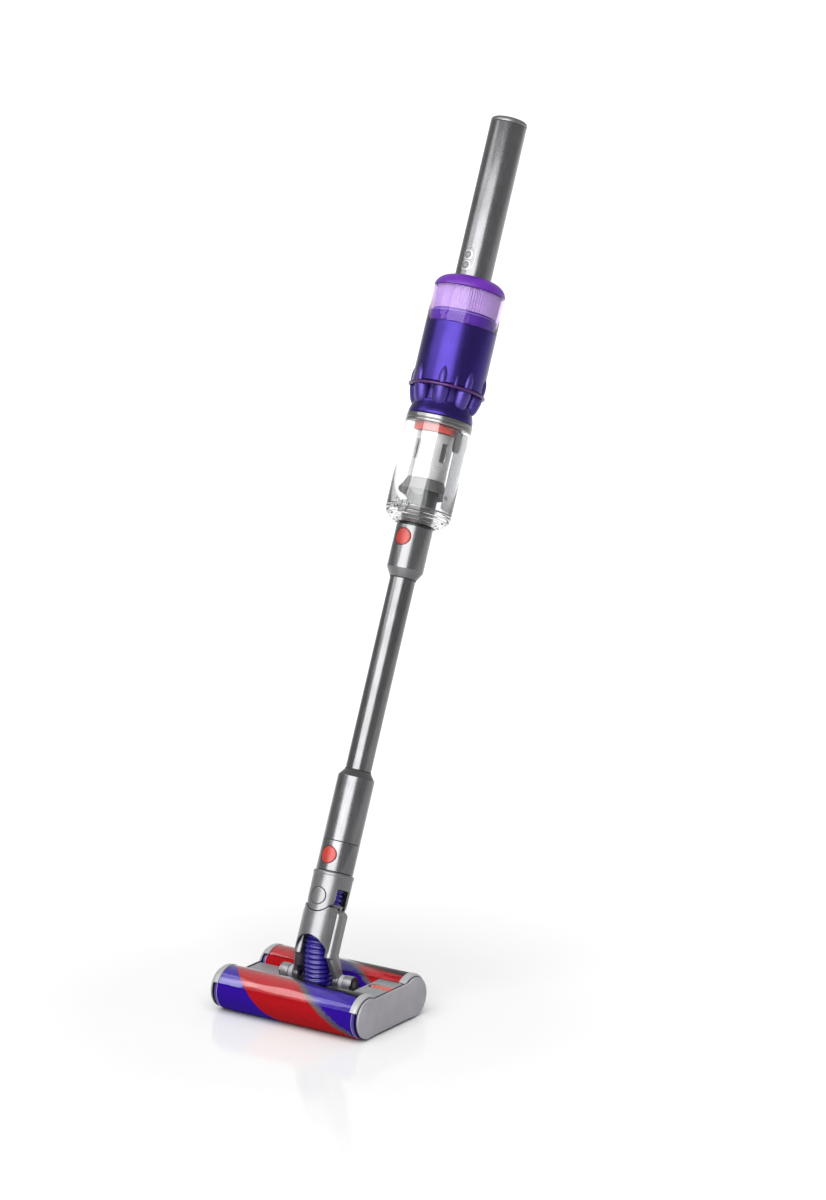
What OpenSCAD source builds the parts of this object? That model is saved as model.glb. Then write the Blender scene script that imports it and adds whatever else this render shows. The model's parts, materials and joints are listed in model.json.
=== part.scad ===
// Cordless stick vacuum: twin-roller floor head, jointed neck, wand, and an in-line
// hand unit with a clear dust bin, a ring of cyclones, a filter and a tubular handle.
//
// Origin: on the floor, under the neck's pitch hinge. +X runs along the rollers,
// +Y points to the user behind the head, +Z is up. Millimetres throughout.
// Heights inside the wand are "stations": distances from the hinge along the wand.

/* [Floor head] */
// Overall width of the floor head across its end caps
head_w = 207; // [200:1:215]
// Distance between the two roller axes
roller_gap = 92; // [91:0.5:94]
// Radius of a roller over its nap
roller_r = 25; // [24.5:0.1:25.3]
// Wall thickness of the clear roller covers
window_t = 1.2; // [0.8:0.1:1.4]
// Height of the grey decks above the floor
deck_z = 45.3; // [44.8:0.1:46]
// Height of the left deck, which has no catch under it
low_deck_z = 36.2; // [36:0.1:37]
// Distance of the castor pivots from the middle of the head
castor_x = 78; // [76:0.5:80]

/* [Neck] */
// Height of the pitch hinge above the floor
hinge_z = 42.4; // [42:0.1:43]
// Distance that the wand's centre line runs in front of the hinge
wand_offset = 17.5; // [17:0.1:18]
// Lean of the wand behind the vertical
lean = 23.3; // [0:0.1:70]
// Outside radius of the neck tube
neck_r = 23.5; // [23.2:0.1:24]
// Outside radius of the suction hose
hose_r = 16.4; // [15:0.1:16.6]

/* [Wand] */
// Outside radius of the bare wand tube
wand_r = 15.25; // [14.8:0.05:15.6]
// Outside radius of the coupling collars
collar_r = 21.75; // [21.5:0.05:22]
// Radius of the red release buttons
release_r = 10.2; // [8:0.1:10.4]

/* [Hand unit] */
// Outside radius of the clear bin
bin_r = 39; // [38.6:0.1:39.3]
// Outside radius of the motor housing
body_r = 42.5; // [42:0.1:43]
// Outside radius of the handle
handle_r = 21.75; // [21.5:0.05:22]
// Number of cyclones around the housing
cyclones = 8; // [6:1:9]
// Number of slots in the shroud
shroud_slots = 12; // [8:1:16]

/* [Hidden] */
$fn = 64;
axle_y = roller_gap / 2;
core_r = 19.4;
stub_r = 5;
running_fit = 0.06;
side_gap = 0.3;

// Head, along X
cap_t = 3.1;
cap_x = head_w / 2;
shell_x = cap_x - cap_t - 0.2;
window_x = 92;
core_x = 97.5;
nap_x = 93.8;
deck_x = 66;
low_deck_x = 51;

// Head, around each roller
window_in = roller_r + 0.5;
window_out = window_in + window_t;
band_out = window_out + 0.3;
clear_r = window_out + 0.5;
window_low = 27;
window_high = 130;
cap_r = 23.2;
sole_z = 2.2;
sole_t = 2.3;
deck_t = 2.3;
saddle_z = 32.8;
duct_r = 17.2;
mouth = [120, 24, 12];
castor_y = 11;
castor_trail = 3.5;
castor_r = 5;
pocket_r = 9.6;
pocket_z = 13.2;
stem_r = 2;
stem_top = 22;
catch_y = 3;
catch_w = 11;
catch_x = [72, 99.6];
catch_travel = 3;
screw_x = [64, 94];

// Hinge, along X
foot_x = [24.5, 31.9];
bush_x = [32.2, 38.2];
boss_x = [38.2, 50];
barrel_r = 9;
pin_r = 4;

// Neck, stations
pivot_z = 90;
rib_top = 80;
arch_z = 22;
arch_r = 22.6;
tongue_r = 17.6;
lug_r = 10.5;
disc_r = 10;
swing_r = 20.3;
hose_z = [20, 80];
neck_low = 101.5;
neck_top = 120;
spigot_r = 18.4;
groove_r = 16.9;
groove_h = 12.5;
bore_r = 15.4;

// Wand, stations
head_button_z = 138.3;
coupling_z = [120.6, 155.6];
lower_z = [156, 232, 240];
upper_z = [470, 480, 531];
wand_z = [164, 498.5];
wand_button_z = 516;

// Hand unit, stations
spigot_low = 501;
base_z = 533.5;
bin_z = [552, 651];
rim_top = 661;
collar_top = 679;
ring_z = 696;
housing_z = [699, 781];
cap_shoulder = 821;
cap_top = 835;
handle_z = [765, 1021];
unit_top = 1028.5;
power_z = 843.6;
mode_z = 856.3;
panel_z = [838, 866];
panel_w = 18;
key_r = 5;
cell_r = 9.2;
cell_h = 65;
socket_r = 2.75;
socket_h = 9;

// ---- helpers ----

// Carries a flat outline drawn in (Y, Z) along X, from x0 to x1.
module along_x(x0, x1) {
    translate([x0, 0, 0]) rotate([90, 0, 90]) linear_extrude(x1 - x0) children();
}

// A cylinder along X at height z and depth y, from x0 to x1.
module x_cylinder(x0, x1, y, z, r) {
    along_x(x0, x1) translate([y, z]) circle(r);
}

// A cylinder pointing forward (-Y) at station z, from depth y0 to depth y1.
module front_cylinder(z, r, y0, y1) {
    translate([0, -y0, z]) rotate([90, 0, 0]) cylinder(h = y1 - y0, r = r);
}

// A straight tube about Z.
module tube(z0, z1, r_out, r_in) {
    difference() {
        translate([0, 0, z0]) cylinder(h = z1 - z0, r = r_out);
        translate([0, 0, z0 - 1]) cylinder(h = z1 - z0 + 2, r = r_in);
    }
}

// A turned solid: the outline is a list of [radius, station].
module turned(outline) {
    rotate_extrude() polygon(outline);
}

// A flat bar outline with round ends at p and q.
module stadium(p, q, r) {
    d = q - p;
    for (end = [p, q]) translate(end) circle(r);
    translate(p) rotate(atan2(d[1], d[0])) translate([0, -r]) square([norm(d), 2 * r]);
}

// Carries its children onto the leaning wand: Z is the station, -Y the front.
module on_wand() {
    translate([0, 0, hinge_z]) rotate([-lean, 0, 0]) translate([0, -wand_offset, 0]) children();
}

// Repeats its children at the left and, mirrored, at the right.
module both_sides() {
    children();
    mirror([1, 0, 0]) children();
}

// ---- floor head ----

// Outline of the body between the rollers, clear of both by clear_r.
module waist(z0, z1, half) {
    difference() {
        translate([-half, z0]) square([2 * half, z1 - z0]);
        for (s = [-1, 1]) translate([s * axle_y, roller_r]) circle(clear_r);
    }
}

module castor_places() {
    for (x = [-castor_x, castor_x], y = [-castor_y, castor_y]) translate([x, y, 0]) children();
}

module screw_places() {
    for (x = screw_x, s = [-1, 1]) translate([s * x, 0, 0]) children();
}

module head_chassis() color("#3c3d41") difference() {
    union() {
        along_x(-shell_x, shell_x) waist(sole_z + sole_t, saddle_z, 27.5);
        along_x(deck_x, shell_x) waist(saddle_z - 1, deck_z - deck_t, 27.5);
        along_x(-shell_x, -low_deck_x) waist(saddle_z - 1, low_deck_z - deck_t, 27.5);
        both_sides() x_cylinder(boss_x[0], boss_x[1], 0, hinge_z, barrel_r);
        both_sides() translate([boss_x[0], -6, saddle_z - 1])
            cube([boss_x[1] - boss_x[0], 12, hinge_z - saddle_z]);
    }
    translate([0, 0, 17]) cylinder(h = 40, r = duct_r);
    translate([0, 0, 1]) cylinder(h = 20, r = duct_r - 2);
    translate([-mouth[0] / 2, -mouth[1] / 2, 0]) cube(mouth);
    castor_places() cylinder(h = pocket_z, r = pocket_r);
    castor_places() cylinder(h = stem_top + 0.5, r = stem_r + running_fit);
    screw_places() cylinder(h = 12, r = 1.5);
    both_sides() x_cylinder(boss_x[0] - 1, boss_x[1] + 1, 0, hinge_z, pin_r);
    both_sides() translate([deck_x + 4, -13, 25]) cube([25, 26, 30]);
}

module soleplate() color("#2f3034") difference() {
    along_x(-shell_x, shell_x) waist(sole_z, sole_z + sole_t, 27);
    translate([-mouth[0] / 2 + 1, -mouth[1] / 2 + 1, 0]) cube(mouth - [2, 2, 0]);
    castor_places() cylinder(h = pocket_z, r = pocket_r + 0.2);
    screw_places() cylinder(h = 12, r = 1.5);
    screw_places() translate([0, 0, sole_z - 1]) cylinder(h = 2, r = 3);
}

module head_screws() color("silver") screw_places() {
    translate([0, 0, sole_z]) cylinder(h = 1, r = 2.9);
    translate([0, 0, sole_z]) cylinder(h = 9.6, r = 1.5);
}

module deck(x, z) {
    along_x(x, shell_x) waist(z - deck_t, z, 29);
}

// Outline of the catch, grown by the given gap on the sides and the travel at its inner end.
module catch_outline(gap, travel) {
    half = catch_w / 2 + gap;
    stadium([catch_x[0] - travel - gap + half, catch_y], [catch_x[1] - catch_w, catch_y], half);
    translate([catch_x[0] - travel - gap + half, catch_y - half])
        square([catch_x[1] - catch_x[0] + travel + 2 * gap - half, 2 * half]);
}

module left_deck() color("#a3a4a6") mirror([1, 0, 0]) deck(low_deck_x, low_deck_z);

module right_deck() color("#a3a4a6") difference() {
    deck(deck_x, deck_z);
    translate([0, 0, deck_z - 5]) linear_extrude(10) catch_outline(side_gap, catch_travel);
}

module end_cap_catch() color("#d8503c") difference() {
    translate([0, 0, deck_z - deck_t + 0.2]) linear_extrude(deck_t + 0.3) catch_outline(0, 0);
    translate([catch_x[0] + 6, catch_y, deck_z - 0.7]) cylinder(h = 5, r = 2.2);
}

// Outline of the arc that covers the front roller, between two radii.
module cover_arc(r_in, r_out) {
    far = 2 * r_out;
    translate([-axle_y, roller_r]) intersection() {
        difference() {
            circle(r_out);
            circle(r_in);
        }
        polygon([[0, 0], far * [-cos(window_low), sin(window_low)], [-far, far],
            [far, far], far * [-cos(window_high), sin(window_high)]]);
    }
}

module front_window() color("gainsboro", 0.5) along_x(-window_x, window_x)
    cover_arc(window_in, window_out);

module rear_window() mirror([0, 1, 0]) front_window();

// Rounded sleeve of an end cap over the end of one window.
module cover_band() {
    shoulder = 98;
    drop = band_out - cap_r;
    intersection() {
        difference() {
            union() {
                x_cylinder(window_x + 0.2, shoulder, -axle_y, roller_r, band_out);
                translate([shoulder, -axle_y, roller_r]) rotate([0, 90, 0])
                    cylinder(h = cap_x - shoulder, r1 = band_out, r2 = band_out - drop);
            }
            x_cylinder(window_x, shoulder, -axle_y, roller_r, window_in);
            translate([shoulder, -axle_y, roller_r]) rotate([0, 90, 0])
                cylinder(h = cap_x - shoulder, r1 = window_in, r2 = window_in - drop);
        }
        along_x(window_x, cap_x) cover_arc(1, 2 * roller_r);
    }
}

// One end plate with its sleeves, whose edge dips to height z between the rollers.
module end_cap(z) {
    along_x(cap_x - cap_t, cap_x) difference() {
        union() {
            for (s = [-1, 1]) translate([s * axle_y, roller_r]) circle(cap_r);
            translate([-axle_y, roller_r - cap_r]) square([roller_gap, z - roller_r + cap_r]);
        }
        translate([0, -10]) square([300, 20 + 2 * sole_z - 0.8], center = true);
    }
    cover_band();
    mirror([0, 1, 0]) cover_band();
}

module left_end_cap() color("#98999c") mirror([1, 0, 0]) end_cap(low_deck_z);

module right_end_cap() color("#98999c") {
    end_cap(deck_z);
    for (y = [-axle_y, axle_y]) x_cylinder(86, cap_x - 1, y, roller_r, stub_r);
}

module roller_core(y) difference() {
    union() {
        x_cylinder(-core_x, core_x, y, roller_r, core_r);
        both_sides() x_cylinder(nap_x + 0.2, core_x, y, roller_r, roller_r - 1);
    }
    x_cylinder(-core_x + 8, core_x - 8, y, roller_r, core_r - 2);
    x_cylinder(-core_x - 1, core_x + 1, y, roller_r, stub_r + running_fit);
}

module roller_nap(y) difference() {
    x_cylinder(-nap_x, nap_x, y, roller_r, roller_r);
    x_cylinder(-nap_x - 1, nap_x + 1, y, roller_r, core_r);
}

module front_roller_core() color("#2a1a66") roller_core(-axle_y);

module front_roller_nap() color("#3a1c9a") roller_nap(-axle_y);

module rear_roller_core() color("#2a1a66") roller_core(axle_y);

module rear_roller_nap() color("#b3262a") roller_nap(axle_y);

module roller_motors() color("gray") for (y = [-axle_y, axle_y]) {
    x_cylinder(-70, 30, y, roller_r, 14.5);
    x_cylinder(-cap_x + cap_t, -69, y, roller_r, stub_r);
}

module hinge_pins() color("#c9cacd") both_sides() {
    x_cylinder(foot_x[0] + 0.5, boss_x[1], 0, hinge_z, pin_r);
    x_cylinder(bush_x[0], bush_x[1], 0, hinge_z, barrel_r - 0.2);
}

// Castor number 1 to 4: its pivot's place on the floor.
function castor_at(n) = [(n % 2 == 1 ? -1 : 1) * castor_x, (n <= 2 ? -1 : 1) * castor_y, 0];

module castor_fork(n) color("#4a4b50") translate(castor_at(n)) {
    translate([0, 0, 11.5]) cylinder(h = stem_top - 11.5, r = stem_r);
    translate([0, 0, 10.8]) cylinder(h = 2, r = 5.6);
    difference() {
        both_sides() translate([2.7, 0.2, 3.2]) cube([1.4, 6.4, 8]);
        x_cylinder(-5, 5, castor_trail, castor_r, 1.25);
    }
}

module castor_wheel(n) color("#1f1f22") translate(castor_at(n)) {
    x_cylinder(-2.3, 2.3, castor_trail, castor_r, castor_r);
    x_cylinder(-4, 4, castor_trail, castor_r, 1.2);
}

// ---- neck ----

// Outlines of the two side ribs of the fork, seen along the wand.
module rib_outlines(gap) {
    both_sides() stadium([20.8, -2], [19, 8], 6.4 + gap);
}

// The two ribs, with slanted tops, clear of the neck's tongues as they swing.
module ribs() difference() {
    translate([0, 0, arch_z]) linear_extrude(rib_top - arch_z) rib_outlines(0);
    front_cylinder(pivot_z, tongue_r + 0.5, -30, 30);
    both_sides() translate([16, -30, rib_top]) rotate([0, 35, 0]) cube([30, 60, 20]);
}

// The leg that tapers from each rib down to the hinge.
module legs() both_sides() hull() {
    translate([0, 0, arch_z + 6]) linear_extrude(1) stadium([20.8, -2], [19, 8], 6.4, $fn = 32);
    x_cylinder(foot_x[0] + 0.4, foot_x[1] - 0.4, wand_offset, 0, 6.6, $fn = 32);
}

// The ring inside the neck, kept within the ball that the neck's tongues swing round.
module swing_ring() intersection() {
    tube(pivot_z - 11, pivot_z + 15, 20.2, hose_r + 0.8);
    translate([0, 0, pivot_z]) sphere(swing_r);
    union() {
        front_cylinder(pivot_z, lug_r, -30, 30);
        translate([-30, -30, pivot_z - 11]) cube([60, 60, 5]);
    }
}

module fork_yoke() color("#6a6b70") difference() {
    on_wand() difference() {
        union() {
            ribs();
            legs();
            both_sides() x_cylinder(foot_x[0], foot_x[1], wand_offset, 0, barrel_r - 0.2);
            tube(46, pivot_z - tongue_r - 0.6, 20.2, hose_r + 0.8);
            swing_ring();
        }
        translate([0, 0, 5]) cylinder(h = 100, r = hose_r + 0.8);
        front_cylinder(pivot_z, stub_r, -30, 30);
        both_sides() x_cylinder(foot_x[0] - 9, foot_x[1] + 9, wand_offset, 0, pin_r + running_fit);
        both_sides() translate([foot_x[1], -30, -20]) cube([20, 80, 32]);
        both_sides() translate([foot_x[0] - 20, 4, -20]) cube([20, 40, 28]);
    }
    translate([0, 0, hose_z[0]]) cylinder(h = hose_z[1] - hose_z[0] + 1, r = hose_r + 0.8);
}

module fork_front_shell() color("#77787d") on_wand() difference() {
    intersection() {
        tube(arch_z, rib_top, neck_r + 0.7, 20.4);
        translate([0, 0, arch_z - 5]) linear_extrude(100)
            polygon([[0, 0], 60 * [-sin(68), -cos(68)], [0, -90], 60 * [sin(68), -cos(68)]]);
    }
    front_cylinder(arch_z, arch_r, 0, 40);
    front_cylinder(pivot_z, tongue_r + 0.6, 0, 40);
    translate([0, 0, arch_z - 5]) linear_extrude(100) rib_outlines(0.1);
}

module lower_hose() color("#2b1a8c") tube(hose_z[0], hose_z[1], hose_r, hose_r - 2.2);

module upper_hose() color("#2b1a8c") on_wand() tube(44, 103.5, hose_r, hose_r - 2.2);

module neck_tube() color("#77787d") on_wand() difference() {
    union() {
        intersection() {
            tube(pivot_z - 20, neck_low + 1, neck_r, 20.6);
            union() {
                front_cylinder(pivot_z, tongue_r, -30, 30);
                translate([-tongue_r, -30, pivot_z]) cube([2 * tongue_r, 60, 14]);
            }
        }
        tube(neck_low, neck_top, neck_r, 19);
        tube(neck_top - 4, neck_top - 1.5, neck_r + 0.5, 19);
    }
    front_cylinder(pivot_z, disc_r, -30, 30);
}

module swing_pins() color("#6a6b70") on_wand() for (turn = [0, 180]) rotate(turn) {
    intersection() {
        tube(pivot_z - 20, pivot_z + 20, neck_r + 0.3, 20.6);
        front_cylinder(pivot_z, disc_r, 0, 30);
    }
    front_cylinder(pivot_z, stub_r - running_fit, hose_r + 1, neck_r - 1);
}

// Plug-in end with a groove for the release button's catch.
module spigot(z0, z1, groove_mid) difference() {
    tube(z0, z1, spigot_r, bore_r);
    tube(groove_mid - groove_h, groove_mid + groove_h, spigot_r + 1, groove_r);
}

module head_spigot() color("#3c3d41") on_wand() {
    spigot(104, 160, head_button_z);
    tube(104, 108, 19, bore_r);
}

// ---- wand ----

// Hole for a release button in the front of a collar.
module release_hole(z) {
    front_cylinder(z, release_r + side_gap, 5, 40);
}

module release_button(z) intersection() {
    tube(z - 20, z + 20, collar_r + 0.25, 19.2);
    front_cylinder(z, release_r, 5, 40);
}

module lower_coupling() color("#77787d") on_wand() difference() {
    tube(coupling_z[0], coupling_z[1], collar_r, spigot_r + 0.2);
    release_hole(head_button_z);
}

module lower_collar() color("#77787d") on_wand() turned([
    [wand_r, 163], [spigot_r + 0.2, 163], [spigot_r + 0.2, lower_z[0]], [collar_r - 0.5, lower_z[0]],
    [collar_r, lower_z[0] + 0.6], [collar_r, lower_z[1]], [wand_r + 0.6, lower_z[2]],
    [wand_r, lower_z[2]]]);

module wand_tube() color("#5c5d62") on_wand() tube(wand_z[0], wand_z[1], wand_r, wand_r - 1.05);

module upper_collar() color("#77787d") on_wand() difference() {
    turned([[wand_r, upper_z[0]], [wand_r + 0.6, upper_z[0]], [collar_r, upper_z[1]],
        [collar_r, upper_z[2]], [spigot_r + 0.2, upper_z[2]], [spigot_r + 0.2, wand_z[1] + 1],
        [wand_r, wand_z[1] + 1]]);
    release_hole(wand_button_z);
}

module head_release_button() color("#c8362a") on_wand() release_button(head_button_z);

module wand_release_button() color("#c8362a") on_wand() release_button(wand_button_z);

// ---- hand unit ----

module inlet_tube() color("#4a4b4f") on_wand() {
    spigot(spigot_low, base_z - 1.4, wand_button_z);
    tube(base_z - 1.5, 640, 19, bore_r);
}

module clear_bin() color("whitesmoke", 0.4) on_wand() tube(bin_z[0], bin_z[1], bin_r, bin_r - 1.6);

module bin_rim_ring() color("silver") on_wand() turned([
    [36.2, bin_z[1]], [bin_r, bin_z[1]], [bin_r + 0.5, bin_z[1] + 1.5], [bin_r + 0.2, rim_top - 0.6],
    [bin_r - 0.5, rim_top], [36.2, rim_top]]);

// Steps of the ridged underside of the bin's door.
module bin_base() color("whitesmoke", 0.4) on_wand() turned(concat(
    [[bin_r, bin_z[0]], [bin_r, bin_z[0] - 4]],
    [for (k = [0:3]) each [[36.8 - 3.2 * k, 546 - 3 * k], [35.2 - 3.2 * k, 546 - 3 * k]]],
    [[25, base_z], [19.3, base_z], [19.3, base_z + 2.5], [24, base_z + 2.5],
        [bin_r - 3.4, bin_z[0] - 2.5], [bin_r - 1.6, bin_z[0]]]));

module bin_latch() color("gainsboro", 0.6) on_wand() difference() {
    union() {
        translate([-13, -42, 541]) cube([26, 12, 14]);
        front_cylinder(552, 9, 34, 43);
    }
    tube(530, 551, 60, bin_r + 4);
    translate([0, 0, 500]) cylinder(h = 100, r = bin_r);
}

module bin_stop() color("#1c1c1e") on_wand() rotate(80) difference() {
    translate([-5, -37, 622]) cube([10, 3.6, 28]);
    translate([-6, -38, 622]) rotate([-28, 0, 0]) translate([0, -10, -20]) cube([12, 10, 40]);
}

module red_ring() color("#c8362a") on_wand() tube(642, 650, 27.3, 20);

module shroud() color("#b9babc") on_wand() difference() {
    union() {
        tube(590, 641, 22.3, 20.4);
        tube(588.4, 600, 22.7, 20.4);
    }
    for (k = [0:shroud_slots - 1]) rotate((k + 0.5) * 360 / shroud_slots)
        translate([15, -2.6, 606]) cube([10, 5.2, 28]);
}

module shroud_skirt() color("#8a8b8e") on_wand() turned([[19.1, 584.5], [19.1, 588], [22.7, 588],
    [30.2, 574.6], [29.5, 573.6], [22, 584.5]]);

module cyclone_collar() color("#4a2fd0") on_wand() difference() {
    turned([[20, 650.4], [35.9, 650.4], [35.9, rim_top + 0.2], [bin_r - 0.6, rim_top + 0.2],
        [bin_r - 0.8, rim_top + 7], [35.3, collar_top], [14, collar_top], [14, 666], [20, 666]]);
    cones();
}

// Outline of one cyclone: a long cone, narrow at the bottom, and a domed shoulder.
function cyclone_outline() = [[0, 673.5], [5, 675], [6.8, 679], [8.4, 684], [9.3, 690],
    [9.3, 694], [7.5, 698.9], [0, 698.9]];

// Outline of the pointed tip that stands out of the housing above one cyclone.
function tip_outline() = [[0, 0], [5.8, 0], [5.3, 5], [4.2, 10], [2.4, 15], [0, 19.5]];

module cones() for (k = [0:cyclones - 1]) rotate((k + 0.5) * 360 / cyclones)
    translate([30.3, 0, 673.5]) rotate([0, 10, 0]) translate([0, 0, -673.5]) turned(cyclone_outline());

module cyclone_cones() color("#3a22a8") on_wand() {
    difference() {
        union() {
            cones();
            tube(collar_top + 0.1, housing_z[0] - 0.2, 32, 24);
        }
        translate([0, 0, housing_z[0] - 0.2]) cylinder(h = 10, r = 60);
    }
    difference() {
        for (k = [0:cyclones - 1]) rotate((k + 0.5) * 360 / cyclones)
            translate([38.2, 0, 699.4]) rotate([0, 10, 0]) turned(tip_outline());
        translate([0, 0, 650]) cylinder(h = 150, r = body_r);
    }
}

module pod_ring() color("#7a2d8c") on_wand() translate([0, 0, ring_z]) rotate_extrude()
    translate([body_r + 0.1, 0]) circle(1.3);

module motor_housing() color("#5a3fe0") on_wand() {
    tube(housing_z[0], housing_z[1], body_r, body_r - 2.5);
    tube(housing_z[0], housing_z[0] + 2.5, body_r - 2, 24);
}

module fan_motor() color("#9a9b9f") on_wand() difference() {
    union() {
        translate([0, 0, 711.5]) cylinder(h = 48, r = 24);
        translate([0, 0, 757]) cylinder(h = 4, r = body_r - 2.5);
    }
    translate([0, 0, 700]) cylinder(h = 16, r = 2.5 + running_fit);
    for (k = [0:7]) rotate(k * 45) translate([32, 0, 750]) cylinder(h = 20, r = 5);
}

module impeller() color("#2e2e31") on_wand() {
    translate([0, 0, 703]) cylinder(h = 12.5, r = 2.5);
    translate([0, 0, 703]) cylinder(h = 1.5, r = 20);
    translate([0, 0, 703]) cylinder(h = 7, r = 6);
    for (k = [0:8]) rotate(k * 40) translate([5, -0.5, 703]) cube([14, 1, 5.5]);
}

module filter_element() color("white") on_wand() tube(786, 818, 38, 27);

// Outline of the cap's rounded shoulder at a given depth under its skin.
function shoulder(depth) = [for (a = [0:10:90])
    [22.2 + (body_r - depth - 22.2) * cos(a), cap_shoulder - depth / 2 + (cap_top - cap_shoulder - depth / 2) * sin(a)]];

module filter_cap() color("#6a2fb8", 0.6) on_wand() turned(concat(
    [[body_r - 2, housing_z[1] + 0.2], [body_r, housing_z[1] + 0.2]], shoulder(0),
    [for (i = [9:-1:0]) shoulder(2)[i]]));

module panel_outline() {
    intersection() {
        stadium([0, panel_z[0] - 5], [0, panel_z[1] - panel_w / 2], panel_w / 2);
        translate([-20, panel_z[0]]) square([40, 60]);
    }
}

// The control panel's block, between two radii.
module panel_block(r_out, r_in) {
    intersection() {
        tube(panel_z[0] - 10, panel_z[1] + 10, r_out, r_in);
        rotate([90, 0, 0]) linear_extrude(40) panel_outline();
    }
}

module handle_tube() color("#77787d") on_wand() difference() {
    tube(handle_z[0], handle_z[1], handle_r, handle_r - 2.2);
    panel_block(handle_r + 5, handle_r - 1.2);
    for (z = [power_z, mode_z]) front_cylinder(z, key_r + side_gap, 5, 40);
}

module control_panel() color("#606166") on_wand() difference() {
    panel_block(handle_r, handle_r - 1.2);
    for (z = [power_z, mode_z]) front_cylinder(z, key_r + side_gap, 5, 40);
}

module key(z) intersection() {
    tube(z - 10, z + 10, handle_r + 0.2, 19);
    front_cylinder(z, key_r, 5, 40);
}

module power_button() color("#8a8b90") on_wand() key(power_z);

module mode_button() color("#8a8b90") on_wand() key(mode_z);

module battery_cells() color("#4f9a58") on_wand()
    for (x = [-9.4, 9.4], z = [876, 876 + cell_h + 2]) translate([x, 0, z])
        cylinder(h = cell_h, r = cell_r);

module handle_end_cap() color("#6a6b70") on_wand() difference() {
    turned([[0, handle_z[1] - 5], [handle_r - 2.3, handle_z[1] - 5], [handle_r - 2.3, handle_z[1] + 0.4],
        [handle_r, handle_z[1] + 0.4], [handle_r, unit_top - 4], [handle_r - 0.6, unit_top - 2.4],
        [handle_r - 2.4, unit_top - 1.1], [handle_r - 6, unit_top - 0.5], [0, unit_top]]);
    translate([0, 0, unit_top - socket_h]) cylinder(h = socket_h + 1, r = socket_r);
}

head_chassis();
soleplate();
left_deck();
right_deck();
front_window();
rear_window();
left_end_cap();
right_end_cap();
end_cap_catch();
front_roller_core();
front_roller_nap();
rear_roller_core();
rear_roller_nap();
roller_motors();
hinge_pins();
head_screws();
castor_fork(1);  // castor_fork_1
castor_fork(2);  // castor_fork_2
castor_fork(3);  // castor_fork_3
castor_fork(4);  // castor_fork_4
castor_wheel(1);  // castor_wheel_1
castor_wheel(2);  // castor_wheel_2
castor_wheel(3);  // castor_wheel_3
castor_wheel(4);  // castor_wheel_4
fork_yoke();
fork_front_shell();
lower_hose();
neck_tube();
swing_pins();
head_spigot();
upper_hose();
lower_coupling();
lower_collar();
wand_tube();
upper_collar();
head_release_button();
wand_release_button();
inlet_tube();
clear_bin();
bin_rim_ring();
bin_base();
bin_latch();
bin_stop();
red_ring();
shroud();
shroud_skirt();
cyclone_collar();
cyclone_cones();
pod_ring();
motor_housing();
fan_motor();
impeller();
filter_element();
filter_cap();
handle_tube();
control_panel();
power_button();
mode_button();
battery_cells();
handle_end_cap();
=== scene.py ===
"""Looks of a cordless stick vacuum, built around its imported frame.

Every sub-assembly is a class that shapes its pieces in millimetres on a bench, which is a
frame with a known place in the world, and lays a finish on each of them. Sizes are read from
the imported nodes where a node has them, and are fields of the classes otherwise.
"""

import json
import logging
import math
from dataclasses import dataclass, field
from enum import Enum
from typing import Iterable, Sequence

import bmesh
import bpy
from mathutils import Matrix, Quaternion, Vector, noise


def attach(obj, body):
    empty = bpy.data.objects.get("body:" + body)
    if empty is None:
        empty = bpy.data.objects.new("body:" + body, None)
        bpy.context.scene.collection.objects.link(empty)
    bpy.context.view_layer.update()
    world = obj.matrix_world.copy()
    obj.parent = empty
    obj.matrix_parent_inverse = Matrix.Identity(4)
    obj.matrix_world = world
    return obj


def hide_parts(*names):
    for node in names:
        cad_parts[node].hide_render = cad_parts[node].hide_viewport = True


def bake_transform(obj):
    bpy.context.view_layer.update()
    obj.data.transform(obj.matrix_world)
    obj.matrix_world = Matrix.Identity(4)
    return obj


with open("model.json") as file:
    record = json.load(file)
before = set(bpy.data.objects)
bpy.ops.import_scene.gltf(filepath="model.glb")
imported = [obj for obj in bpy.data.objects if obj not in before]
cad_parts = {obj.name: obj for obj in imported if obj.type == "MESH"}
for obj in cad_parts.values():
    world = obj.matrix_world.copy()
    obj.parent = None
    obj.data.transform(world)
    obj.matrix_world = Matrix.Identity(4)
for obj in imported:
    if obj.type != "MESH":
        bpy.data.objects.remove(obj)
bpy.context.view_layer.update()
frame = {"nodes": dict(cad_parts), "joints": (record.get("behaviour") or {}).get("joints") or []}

LOG = logging.getLogger("stick_vacuum")
MM = 0.001

Point = tuple[float, float]
Outline = list[Point]
Colour = tuple[float, float, float]


def tone(red: int, green: int, blue: int) -> Colour:
    """The linear colour of a red, green and blue from 0 to 255."""
    return tuple(((c / 255 + 0.055) / 1.055) ** 2.4 if c > 10 else c / 3295 for c in (red, green, blue))


def mixed(colour: Colour, factor: float) -> tuple[float, float, float, float]:
    """A colour made lighter or darker by a factor, with full cover."""
    return (*(min(1.0, c * factor) for c in colour), 1.0)


# ---- outlines ----


def arc(centre: Point, radius: float, start: float, end: float, steps: int) -> Outline:
    """Points along an arc.

    Args:
        centre: The arc's centre.
        radius: The arc's radius.
        start: First angle, in degrees.
        end: Last angle, in degrees.
        steps: Number of stretches between the points.

    Returns:
        The points, both ends included.
    """
    turns = [math.radians(start + (end - start) * k / steps) for k in range(steps + 1)]
    return [(centre[0] + radius * math.cos(t), centre[1] + radius * math.sin(t)) for t in turns]


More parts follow.
